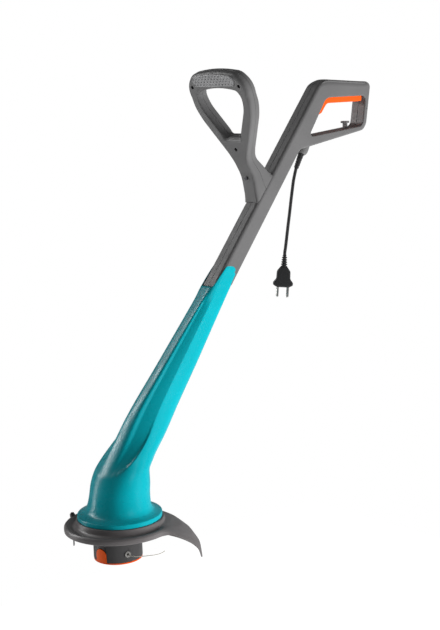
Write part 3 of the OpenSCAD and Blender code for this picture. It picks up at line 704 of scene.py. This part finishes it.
# ---------------------------------------------------------------- turquoise housing

WALL = 2.5
# Height, front X, rear X, half width, exponent of the rounded outline
HOUSING = np.array([[68, -65, 80, 73, 2], [75, -65, 80, 73, 2], [78, -58, 72, 67, 2], [82, -51, 64, 61, 2],
                    [90, -46, 60, 57, 2], [106, -42, 60, 54, 2], [128, -36, 60.5, 52.5, 2.1],
                    [146, -28, 60.5, 50, 2.1], [165, -13.5, 71.5, 45.5, 2.2], [200, 12.5, 102.5, 38.5, 2.4],
                    [250, 52.5, 141.5, 30, 2.6], [310, 107, 186, 25, 2.9], [380, 170.5, 234.5, 21.5, 3.4],
                    [452, 236, 285, 18.4, 4.8], [475, 255.3, 303.4, 18.0, 5.2]])


def monotone(xs, ys, x):
    """Smooth curve through a table without overshoot."""
    gaps = np.diff(xs)
    slopes = np.diff(ys) / gaps
    tangents = np.zeros(len(xs))
    for i in range(1, len(xs) - 1):
        if slopes[i - 1] * slopes[i] > 0:
            w1, w2 = 2 * gaps[i] + gaps[i - 1], gaps[i] + 2 * gaps[i - 1]
            tangents[i] = (w1 + w2) / (w1 / slopes[i - 1] + w2 / slopes[i])
    tangents[0], tangents[-1] = slopes[0], slopes[-1]
    i = int(np.clip(np.searchsorted(xs, x) - 1, 0, len(gaps) - 1))
    t = (x - xs[i]) / gaps[i]
    h00, h10, h01, h11 = 2 * t**3 - 3 * t**2 + 1, t**3 - 2 * t**2 + t, -2 * t**3 + 3 * t**2, t**3 - t**2
    return h00 * ys[i] + h10 * gaps[i] * tangents[i] + h01 * ys[i + 1] + h11 * gaps[i] * tangents[i + 1]


def smooth(t):
    t = min(1.0, max(0.0, t))
    return t * t * (3 - 2 * t)


# The facet starts at its lip on the bell, and goes round from the nose to the side, in degrees
LIP_LOW, LIP_HIGH = 148.0, 215.0
NOSE_EDGE, FACET_EDGE = 11.0, 78.0
FACET_STEP, FACET_FLATNESS, FACET_TOP = 1.8, 0.85, 405


def facet_reach(z):
    """How far round the section the front facet goes at a height, in degrees."""
    rise = min(1.0, max(0.0, (z - LIP_LOW) / (LIP_HIGH - LIP_LOW)))
    return NOSE_EDGE + (FACET_EDGE - NOSE_EDGE) * math.sqrt(1 - (1 - rise) ** 2)


def facet_depth(z, t_deg):
    """How far the facet's lower end lies below the bell."""
    if z <= LIP_LOW:
        return 0.0
    sideways = smooth((facet_reach(z) - t_deg) / 6.0)
    return FACET_STEP * sideways * smooth((z - LIP_LOW) / 4.0) * (1 - smooth((z - 190) / 50))


def housing_point(z, t_deg, inset, facet=True):
    """A point of the shell at a height; t_deg goes round from the nose, 0, to the rear, 180."""
    f, r, b, n = (monotone(HOUSING[:, 0], HOUSING[:, c], z) for c in (1, 2, 3, 4))
    inset += facet_depth(z, t_deg) if facet else 0.0
    slope = inset * (1.3 if z > 140 else 1.0)
    f, r, b = f + slope, r - slope, b - inset
    e = 2 / n

    def arc(degrees):
        c, s = math.cos(math.radians(degrees)), max(math.sin(math.radians(degrees)), 0.0)
        return np.array([(f + r) / 2 - (r - f) / 2 * math.copysign(abs(c) ** e, c), b * s**e])

    p = arc(t_deg)
    edge = facet_reach(z)
    if z > LIP_LOW and NOSE_EDGE < t_deg < edge:
        share = (t_deg - NOSE_EDGE) / (edge - NOSE_EDGE)
        chord = arc(NOSE_EDGE) * (1 - share) + arc(edge) * share
        lengthways = smooth((z - LIP_LOW) / 24) * (1 - smooth((z - FACET_TOP) / 30))
        p = p + FACET_FLATNESS * smooth(share * 2.6) * lengthways * (chord - p)
    return p[0], p[1], z


JOINT_LOW, TONGUE_RISE, TONGUE_FALL = 438, 32, 14


def joint_height(t_deg):
    """Height of the joint between the turquoise and the grey shells round the section."""
    c = math.cos(math.radians(t_deg))
    share = 0.5 - 0.5 * math.copysign(abs(c) ** 0.42, c)
    rise = smooth((t_deg - 30) / 42)
    fall = min(1.0, max(0.0, (share - 0.26) / 0.5))
    return JOINT_LOW + TONGUE_RISE * rise - TONGUE_FALL * (1 - math.sqrt(1 - fall**2))


# Heights of the grid's rows: close together at the flange, the lip and the joint
FLANGE_LOW, STRETCH_FROM, THIN_FROM, GRID_TOP = 68.0, 400, 420, 452
FLANGE_LEVELS = [FLANGE_LOW, 68.4, 69.2, *range(70, 75), 75.0, 75.6, 76.2, *range(77, 83), 84, 86, 88]
BODY_LEVELS = [*np.arange(90, 162, 4.0), *np.arange(162, 232, 1.5), *np.arange(232, 432, 5.0)]
JOINT_LEVELS = list(np.linspace(432, GRID_TOP, 9))
SIDE_ANGLES = {85, 87, 88.5, 89, 89.5, 89.8, 90.2, 90.5, 91, 91.5, 93, 95}
EDGE_BEVEL = {FLANGE_LOW: 0.5, 68.4: 0.12, GRID_TOP: 0.3}
HALF_GAP = 0.12


def make_housing(side, name, node):
    angles = sorted({2.0 * i for i in range(91)} | SIDE_ANGLES)
    steps = len(angles) - 1
    levels = FLANGE_LEVELS + BODY_LEVELS + JOINT_LEVELS
    outer, inner = [], []
    for level in levels:
        for t in angles:
            stretch = (joint_height(t) - STRETCH_FROM) / (GRID_TOP - STRETCH_FROM)
            height = level if level < STRETCH_FROM else STRETCH_FROM + (level - STRETCH_FROM) * stretch
            x, y, z = housing_point(height, t, EDGE_BEVEL.get(level, 0.0))
            outer.append((x, side * (HALF_GAP if t in (0.0, 180.0) else max(y, 0.0)), z))
            thick = WALL - 1.5 * smooth((z - THIN_FROM) / 12)
            x, y, z = housing_point(z, t, thick, facet=z < THIN_FROM)
            inner.append((x, side * max(y, HALF_GAP), z))
    rows, columns = len(levels), steps + 1
    shift = len(outer)
    faces = grid_faces(rows, columns, closed_columns=False)
    faces += grid_faces(rows, columns, closed_columns=False, start=shift)
    for i in range(rows - 1):
        for j in (0, steps):
            a, b = i * columns + j, (i + 1) * columns + j
            faces.append((a, b, shift + b, shift + a))
    for j in range(steps):
        for i in (0, rows - 1):
            a, b = i * columns + j, i * columns + j + 1
            faces.append((a, b, shift + b, shift + a))
    return make_piece(name, outer + inner, faces, "main", "turquoise_plastic", [node], sharp_deg=50)


# ---------------------------------------------------------------- grey shaft and rear handle

HANDLE_HALF, SLOT_HALF = 17.5, 13.4
# Corners: X, Z and radius
HANDLE_OUTLINE = [(269.7, 434, 3), (453, 664, 20), (637, 692, 20), (653, 782, 10), (516, 791, 40),
                  (225.4, 434, 3)]
HANDLE_OPENING = [(477, 686, 5), (626, 699, 12), (636, 756, 9), (526, 756, 22)]
# Fillet radius along each edge of the two outlines
OUTLINE_FILLETS = [3.2, 4.0, 6.0, 13.0, 7.0, 3.0]
OPENING_FILLETS = [2.2, 3.0, 2.6, 2.2]
TRIGGER_SLOT = [(500, 728), (504, 722), (516, 719), (530, 736), (632, 736), (632, 766), (500, 766)]
HANDLE_SCREWS = [(295, 485), (368, 575), (436, 655), (640, 768), (490, 732)]
SCREW_RECESS_R, SCREW_RECESS_DEPTH = 3.6, 3.0
CORD_BORE = [(7.3, -8.0), (7.3, 2.0), (6.6, 2.0), (6.6, 30.0)]
CORD_COLLAR = [(10.5, -9.0), (10.8, 4.0), (10.4, 9.0), (9.2, 13.0), (7.6, 15.2), (6.5, 15.6), (6.5, 0.0),
               (6.9, -9.0)]


def near_segment(points, a, b):
    """Which points lie on the straight between two corners."""
    a, b = np.array(a, float), np.array(b, float)
    t = np.clip(((points - a) @ (b - a)) / ((b - a) @ (b - a)), 0, 1)
    return np.linalg.norm(points - (a + t[:, None] * (b - a)), axis=1) < 1.5


def edge_radii(loop, corners, per_edge, sign, passes):
    """Fillet radius along a loop, one per edge of its corner list, blended at the corners."""
    wanted = np.full(len(loop), max(per_edge))
    for i, radius in enumerate(per_edge):
        a, b = corners[i][:2], corners[(i + 1) % len(corners)][:2]
        wanted[near_segment(loop, a, b)] = radius
    return limited_radii(loop, smooth_round(wanted, passes), sign)


def prism(outline, y0, y1):
    """An outline in X and Z drawn out along Y."""
    points = [(x, y0, z) for x, z in outline] + [(x, y1, z) for x, z in outline]
    n = len(outline)
    faces = [tuple(range(n)), tuple(range(n, 2 * n))]
    faces += [(i, (i + 1) % n, n + (i + 1) % n, n + i) for i in range(n)]
    return points, faces


def make_handle(side, name, node):
    outer = resample(rounded(HANDLE_OUTLINE), 2.0)
    hole = resample(rounded(HANDLE_OPENING), 1.6)
    outer_r = edge_radii(outer, HANDLE_OUTLINE, OUTLINE_FILLETS, 1, 14)
    hole_r = edge_radii(hole, HANDLE_OPENING, OPENING_FILLETS, -1, 6)
    m = half_shell(outer, outer_r, hole, hole_r, HANDLE_HALF, WALL,
                   lambda p, h: (p[0], side * (h + 0.08), p[1]))
    piece = make_piece(name, m.points, m.faces, "main", "grey_plastic", [node])
    cutters = [cutter(*prism(TRIGGER_SLOT, -SLOT_HALF, SLOT_HALF)),
               cutter(*lathe(CORD_BORE, CORD_EXIT, CORD_DIR, 40))]
    if side > 0:
        recess = [(SCREW_RECESS_R, 0.0), (SCREW_RECESS_R, 2 * SCREW_RECESS_DEPTH)]
        for x, z in HANDLE_SCREWS:
            cutters.append(cutter(*lathe(recess, (x, HANDLE_HALF - SCREW_RECESS_DEPTH, z), (0, 1, 0), 32)))
    cut(piece, cutters)
    if side < 0:
        add_to_mesh(piece, *lathe(CORD_COLLAR, CORD_EXIT, CORD_DIR, 48, closed=True))


def add_to_mesh(piece, points, faces):
    """Puts more geometry into a piece's mesh."""
    b = bmesh.new()
    b.from_mesh(piece.data)
    made = [b.verts.new(p) for p in to_row(points)]
    for face in faces:
        b.faces.new([made[i] for i in face])
    bmesh.ops.recalc_face_normals(b, faces=b.faces)
    b.to_mesh(piece.data)
    b.free()
    piece.data.shade_smooth()
    piece.data.set_sharp_from_angle(angle=math.radians(SHARP_DEG))


TRIGGER_OUTLINE = [(509.5, 725, 2), (517, 728, 3), (532, 745.5, 14), (629, 745.5, 5), (629, 758.5, 2),
                   (502.5, 758.5, 3), (502.5, 736, 4)]


def make_trigger():
    outline = resample(rounded(TRIGGER_OUTLINE), 0.8)
    m = slab(outline, 2.4, 13.0, lambda p, h: (p[0], h, p[1]), 6.0)
    make_piece("trigger_lever", m.points, m.faces, "trigger", "orange_plastic", ["trigger"])


COIL_STEPS = 28


def coil(x, low, high, radius, turns):
    """Centre line of a helical spring standing on Z."""
    count = COIL_STEPS * turns
    points = []
    for k in range(count + 1):
        turn = 2 * math.pi * turns * k / count
        points.append((x + radius * math.cos(turn), radius * math.sin(turn), low + (high - low) * k / count))
    return points


TRIGGER_SPRING_X, TRIGGER_SPRING_TOP = 604.0, 778.0


def make_springs():
    points, faces = tube(coil(TRIGGER_SPRING_X, 759.6, 777.4, 3.6, 6), 0.5, 10, (0, 0, 1))
    spring = make_piece("trigger_spring_coil", points, faces, "main", "spring_steel", ["trigger_spring"])
    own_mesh(spring)
    points, faces = tube(coil(0.0, 23.2, 28.6, 11.0, 3), 0.7, 10, (0, 0, 1))
    spring = make_piece("spool_spring_coil", points, faces, "tap_knob", "spring_steel", ["spool_spring"])
    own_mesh(spring)


def rounded_bar(x, half_x, low, high, corner, edge, half_y):
    """A short bar with rounded edges, drawn out along Y."""
    corners = [(x - half_x, low, corner), (x + half_x, low, corner), (x + half_x, high, corner),
               (x - half_x, high, corner)]
    return slab(resample(rounded(corners), 0.4), edge, half_y, lambda p, h: (p[0], h, p[1]), 3.0)


HOOK_X = 594.0


def make_hook():
    post = rounded_bar(HOOK_X, 3.0, 696, 706, 0.6, 0.8, 4.0)
    head = rounded_bar(HOOK_X, 5.5, 705.5, 709.5, 1.4, 1.2, 7.0)
    points, faces = joined((post.points, post.faces), (head.points, head.faces))
    make_piece("cord_hook_tee", points, faces, "main", "grey_plastic", ["extension_cord_hook"])


# ---------------------------------------------------------------- front handle

FRONT_BASE = np.array([328.0, 654.0])
LEAN = math.radians(22)
UP = np.array([-math.sin(LEAN), math.cos(LEAN)])
BACKWARDS = np.array([math.cos(LEAN), math.sin(LEAN)])
FRONT_DEPTH, BACK_DEPTH = 13.0, 12.0
FRONT_FOOT, BACK_FOOT = FRONT_BASE - FRONT_DEPTH * BACKWARDS, FRONT_BASE + BACK_DEPTH * BACKWARDS
# Along the neck: distance, front line X and Z, back line X and Z
NECK = np.array([[-85, 340.5, 567.0, 384.0, 621.0], [-62, 338.0, 590.0, 374.5, 627.0],
                 [-31, 331.5, 623.5, 360.0, 640.5], [0, *FRONT_FOOT, *BACK_FOOT],
                 [60, *(FRONT_FOOT + 60 * UP), *(BACK_FOOT + 60 * UP)],
                 [190, *(FRONT_FOOT + 190 * UP), *(BACK_FOOT + 190 * UP)]])
NECK_BLUR = 9
# Right-hand corners: distance from the middle, along the neck, radius
LOOP_RIGHT = [(17.6, -80, 2), (17.6, 0, 40), (25, 17, 60), (71.5, 95, 120), (78, 146, 34), (57, 168, 26),
              (0, 176, 300)]
HOLE_RIGHT = [(19.5, 48, 6), (54, 105, 60), (57, 134, 16), (0, 146, 195)]
PARTING = FRONT_DEPTH / (FRONT_DEPTH + BACK_DEPTH)


def mirrored(corners):
    """The right-hand corners and the same on the left."""
    return list(corners) + [(-x, y, r) for x, y, r in reversed(corners) if x > 0]


def slab_point(s, depth):
    """X and Z at a distance along the neck; depth is -1 in front, 0 at the parting, 1 behind."""
    near = (s - NECK_BLUR, s, s + NECK_BLUR)
    front, back = (np.array([np.mean(np.interp(near, NECK[:, 0], NECK[:, c])) for c in pair])
                   for pair in ((1, 2), (3, 4)))
    share = PARTING + depth * (PARTING if depth < 0 else 1 - PARTING)
    return front + (back - front) * share


# Distances along the neck where the fillets change
TOP_BAR_FROM, SADDLE_TO, HOLE_TOP_FROM = 110, 56, 128
# Screws in the front face: distance from the middle, along the neck
FRONT_SCREWS = [(-60, 146), (60, 146), (0, 26)]
FRONT_RECESS_R = 3.4


def make_front_shell(front, name, node):
    outer = resample(rounded(mirrored(LOOP_RIGHT)), 2.0)
    hole = resample(rounded(mirrored(HOLE_RIGHT)), 1.8)
    depth = FRONT_DEPTH if front else BACK_DEPTH
    sign = -1 if front else 1

    def place(p, h):
        x, z = slab_point(p[1], sign * max(h, 0.08) / depth)
        return x, p[0], z

    wanted = np.where(outer[:, 1] > TOP_BAR_FROM, 8.5, 5.0)
    outer_r = limited_radii(outer, smooth_round(wanted, 12), 1)
    saddle, top = hole[:, 1] < SADDLE_TO, hole[:, 1] > HOLE_TOP_FROM
    wanted = np.where(saddle, 10.5 if front else 6.0, np.where(top, 6.0, 3.0))
    hole_r = limited_radii(hole, smooth_round(wanted, 4), -1)
    m = half_shell(outer, outer_r, hole, hole_r, depth, WALL, place, 6.0)
    piece = make_piece(name, m.points, m.faces, "main", "grey_plastic", [node])
    if front:
        cutters = []
        for u, v in FRONT_SCREWS:
            at = FRONT_FOOT + v * UP
            recess = [(FRONT_RECESS_R, -3.0), (FRONT_RECESS_R, 4.9)]
            cutters.append(cutter(*lathe(recess, (at[0], u, at[1]), (BACKWARDS[0], 0, BACKWARDS[1]), 32)))
        recess = [(FRONT_RECESS_R, -14.0), (FRONT_RECESS_R, -0.2)]
        cutters.append(cutter(*lathe(recess, (330, 0, 620), (1, 0, 0), 32)))
        cut(piece, cutters)


PAD_OUTLINE = [(-48, 147.5, 4), (0, 147, 100), (48, 147.5, 4), (54, 158, 6), (46, 167, 8), (0, 171, 100),
               (-46, 167, 8), (-54, 158, 6)]
PAD_THICK, PAD_EDGE_R, PAD_SUNK, PAD_EDGE_STEPS = 2.5, 1.6, 0.3, 5
DIMPLE_R, DIMPLE_DEPTH, DIMPLE_PITCH, DIMPLE_ROWS, DIMPLE_HALF_WIDTH = 2.2, 1.7, 8.0, 4, 50
FIRST_ROW, ROW_PITCH = 151.5, 5.0


def dimple(p):
    """Depth of the pad's dimples, which stand in staggered rows."""
    row = round((p[1] - FIRST_ROW) / ROW_PITCH)
    shift = DIMPLE_PITCH / 2 if row % 2 else 0.0
    column = round((p[0] - shift) / DIMPLE_PITCH)
    gap = math.hypot(p[0] - shift - DIMPLE_PITCH * column, p[1] - FIRST_ROW - ROW_PITCH * row)
    if row not in range(DIMPLE_ROWS) or abs(p[0]) >= DIMPLE_HALF_WIDTH or gap >= DIMPLE_R:
        return 0.0
    return DIMPLE_DEPTH * (1 - smooth(gap / DIMPLE_R))


def make_grip_pad():
    outline = resample(rounded(PAD_OUTLINE), 1.2)
    normals = loop_normals(outline)

    def place(p, h):
        sunk = dimple(p) if h == PAD_THICK else 0.0
        x, z = FRONT_BASE - (FRONT_DEPTH + h - sunk) * BACKWARDS + p[1] * UP
        return x, p[0], z

    m = Mesh2D(place)
    rings = [m.ring(outline, -PAD_SUNK), m.ring(outline, PAD_THICK - PAD_EDGE_R)]
    for k in range(1, PAD_EDGE_STEPS + 1):
        a = 0.5 * math.pi * k / PAD_EDGE_STEPS
        # The last ring stays a hair below the top, so that it isn't dimpled
        low = 0.001 if k == PAD_EDGE_STEPS else 0
        height = PAD_THICK - PAD_EDGE_R * (1 - math.sin(a)) - low
        rings.append(m.ring(outline - PAD_EDGE_R * (1 - math.cos(a)) * normals, height))
    for a, b in zip(rings, rings[1:]):
        m.join(a, b)
    m.fill(rings[-1], None, PAD_THICK, 0.8)
    m.fill(rings[0], None, -PAD_SUNK, 6.0)
    make_piece("grip_pad_dimpled", m.points, m.faces, "main", "soft_grip", ["grip_pad"], sharp_deg=60)


# ---------------------------------------------------------------- guard

RIM_R = 93.5
RIM_LOW = 48.5
# Profiles from the top of the ring wall outwards and back inside: radius, height, shift to the rear
RIM_OUTER = np.array([[70, 67.7, 8], [75.5, 67.7, 8], [76.5, 59, 7], [81, 55.2, 5], [86, 59.2, 4],
                      [90.5, 59.2, 4], [RIM_R, 56, 4], [RIM_R, RIM_LOW, 4]])
RIM_INNER = np.array([[RIM_R - 3, RIM_LOW, 4], [RIM_R - 3, 53.5, 4], [RIM_R - 4.5, 56, 4], [86.5, 56.4, 4],
                      [81, 52.4, 5], [75, 55.5, 7]])
PLATE = np.array([[58, 57, 3], [17, 57, 0], [17, 60, 0], [60, 60, 3], [68, 64.5, 8]])
SHIELD_R, SHIELD_INNER, SHIELD_RISE, SHIELD_CURVE = 145.0, 70.0, 64.0, 1.65
SHIELD_LOW, SHIELD_HIGH, SHIELD_HALF = -10.0, 62.0, 44.0
SHIELD_WALL = 3.2
# The shield turns into the rim over these degrees from the rear
BLEND_FROM, BLEND_OVER = 58, 22


def edge_height(a):
    """Height of the shield's lower edge at an angle from the rear."""
    if a < SHIELD_HALF:
        return SHIELD_LOW
    rise = math.sin(math.radians(90 * min(1, (a - SHIELD_HALF) / 34))) ** 0.8
    return min(RIM_LOW, SHIELD_LOW + 66 * rise)


def shield_radius(z):
    """Outside radius of the shield at a height."""
    drop = 1 - (max(z, 0) / SHIELD_RISE) ** SHIELD_CURVE
    return SHIELD_INNER + (SHIELD_R - SHIELD_INNER) * drop ** (1 / SHIELD_CURVE)


def shield_profile(a):
    """Outside and inside of the shield at an angle from the rear."""
    low = edge_height(a)
    outer = [[70, 67.7, 8], [75.5, 67, 8]]
    for k in range(6):
        z = low + (SHIELD_HIGH - low) * math.cos(math.radians(18 * k))
        outer.append([shield_radius(z), z, 0])
    inner = []
    for k in range(5, -1, -1):
        z = low + (SHIELD_HIGH - 3 - low) * math.cos(math.radians(18 * k))
        inner.append([shield_radius(z) - SHIELD_WALL, z - (0 if k == 5 else 1), 0])
    return np.array(outer), np.array(inner)


EDGE_NEAR = 0.5


def edge_split(profile):
    """Adds a point each side of every corner, so that subdivision keeps the edges tight."""
    n = len(profile)
    made = []
    for i in range(n):
        p, a, b = profile[i], profile[i - 1], profile[(i + 1) % n]
        for q in (a, b):
            gap = max(1e-6, float(np.linalg.norm(q[:2] - p[:2])))
            made.append(p + (q - p) * min(0.3, EDGE_NEAR / gap))
    return np.array(made)


GUARD_COLUMNS = 144
BOSS_PROFILE = [(4.5, 55.5), (4.6, 57), (4.6, 61.0), (4.1, 61.5), (1.8, 61.5), (1.8, 55.5)]
BOSS_ANGLE, BOSS_R = math.radians(109), 92


def make_guard():
    points = []
    for k in range(GUARD_COLUMNS):
        angle = 360.0 * k / GUARD_COLUMNS
        a = abs(angle - 360 if angle > 180 else angle)
        w = 1 - smooth((a - BLEND_FROM) / BLEND_OVER)
        outer, inner = shield_profile(a)
        profile = np.vstack([w * outer + (1 - w) * RIM_OUTER, w * inner + (1 - w) * RIM_INNER, PLATE])
        profile = edge_split(profile)
        c, s = math.cos(math.radians(angle)), math.sin(math.radians(angle))
        points += [(p[0] * c + p[2], p[0] * s, p[1]) for p in profile]
    rows = len(profile)
    faces = grid_faces(GUARD_COLUMNS, rows, closed_rows=True)
    boss_at = (BOSS_R * math.cos(BOSS_ANGLE), BOSS_R * math.sin(BOSS_ANGLE), 0)
    boss = lathe(BOSS_PROFILE, boss_at, (0, 0, 1), 48, closed=True)
    points, faces = joined((points, faces), boss)
    make_piece("guard_moulded", points, faces, "main", "dark_plastic", ["guard"], sharp_deg=180, levels=1)


# ---------------------------------------------------------------- cutting line

LINE_D = 1.4
LINE_ROUTE = [(-8.3, -31, 14), (-10.2, -38, 14), (-11.6, -45, 13.8), (-9.5, -52, 13.2), (-3, -58.5, 12.6),
              (8, -64.5, 11.8), (22, -70, 11), (35, -71.5, 10.6), (47, -69, 11)]


def make_line():
    route = catmull(LINE_ROUTE, 6)
    points, faces = tube(route, LINE_D / 2, 12, (0, 0, 1))
    line = make_piece("cutting_line_end", points, faces, "cutting_head", "nylon_line", ["cutting_line"])


# ---------------------------------------------------------------- everything

USUAL_BEVEL_MM = 0.2
BEVEL_MM = {"head_housing": 0.8, "spool_cover": 0.7, "tap_knob": 0.8, "release_button_front": 1.0,
            "release_button_rear": 1.0, "line_eyelet": 0.5, "line_cutter": 0.15, "lead_live": 0.01,
            "lead_neutral": 0.01}
FACET_MERGE_M = 2e-5


def dress_cad_nodes():
    """Every CAD node that is still shown gets its slot's material, soft edges and smooth shading; the screws
    and the line cutter get steel darkened with painted shade instead.
    """
    for name, node in frame["nodes"].items():
        if node.hide_render:
            continue
        slot = SLOT_OF[name]
        node.data.materials.clear()
        node.data.materials.append(STEEL_PAINTED_SHADE if name in PAINTED_SHADE_STEEL_NODES else MATERIALS[slot])
        weld = node.modifiers.new("weld", "WELD")
        weld.merge_threshold = FACET_MERGE_M
        bevel = node.modifiers.new("soft_edges", "BEVEL")
        bevel.width = BEVEL_MM.get(name, USUAL_BEVEL_MM) / 1000
        bevel.segments = 3
        bevel.limit_method = "ANGLE"
        bevel.angle_limit = math.radians(40)
        weighted = node.modifiers.new("weighted", "WEIGHTED_NORMAL")
        weighted.keep_sharp = True
        node.data.shade_smooth()


FLOOR_HALF, FLOOR_Z, FLOOR_GLOW = 4.0, -2.7, 0.85


def make_floor():
    """A pale floor well below the object, bright enough to run into the background."""
    s = Shader("floor")
    s.colour(s.ramp(s.noise(900, 2), (0.9, 0.9, 0.9), (0.93, 0.93, 0.93)))
    s.roughness(s.spread(s.noise(60, 3), 0.7, 0.8))
    s.bsdf.inputs["Emission Color"].default_value = (1, 1, 1, 1)
    s.bsdf.inputs["Emission Strength"].default_value = FLOOR_GLOW
    mesh = bpy.data.meshes.new("floor")
    r, z = FLOOR_HALF, FLOOR_Z
    mesh.from_pydata([(-r, -r, z), (r, -r, z), (r, r, z), (-r, r, z)], [], [(0, 1, 2, 3)])
    mesh.materials.append(s.material)
    floor = bpy.data.objects.new("floor", mesh)
    bpy.context.scene.collection.objects.link(floor)


set_camera()
make_cord()
set_lights()
set_world()
make_floor()
make_housing(-1, "housing_half_left", "housing_shell_left")
make_housing(1, "housing_half_right", "housing_shell_right")
make_handle(-1, "handle_half_left", "handle_shell_left")
make_handle(1, "handle_half_right", "handle_shell_right")
make_trigger()
make_springs()
make_hook()
make_front_shell(True, "front_handle_front_half", "front_handle_front_shell")
make_front_shell(False, "front_handle_back_half", "front_handle_back_shell")
make_grip_pad()
make_guard()
make_line()
dress_cad_nodes()
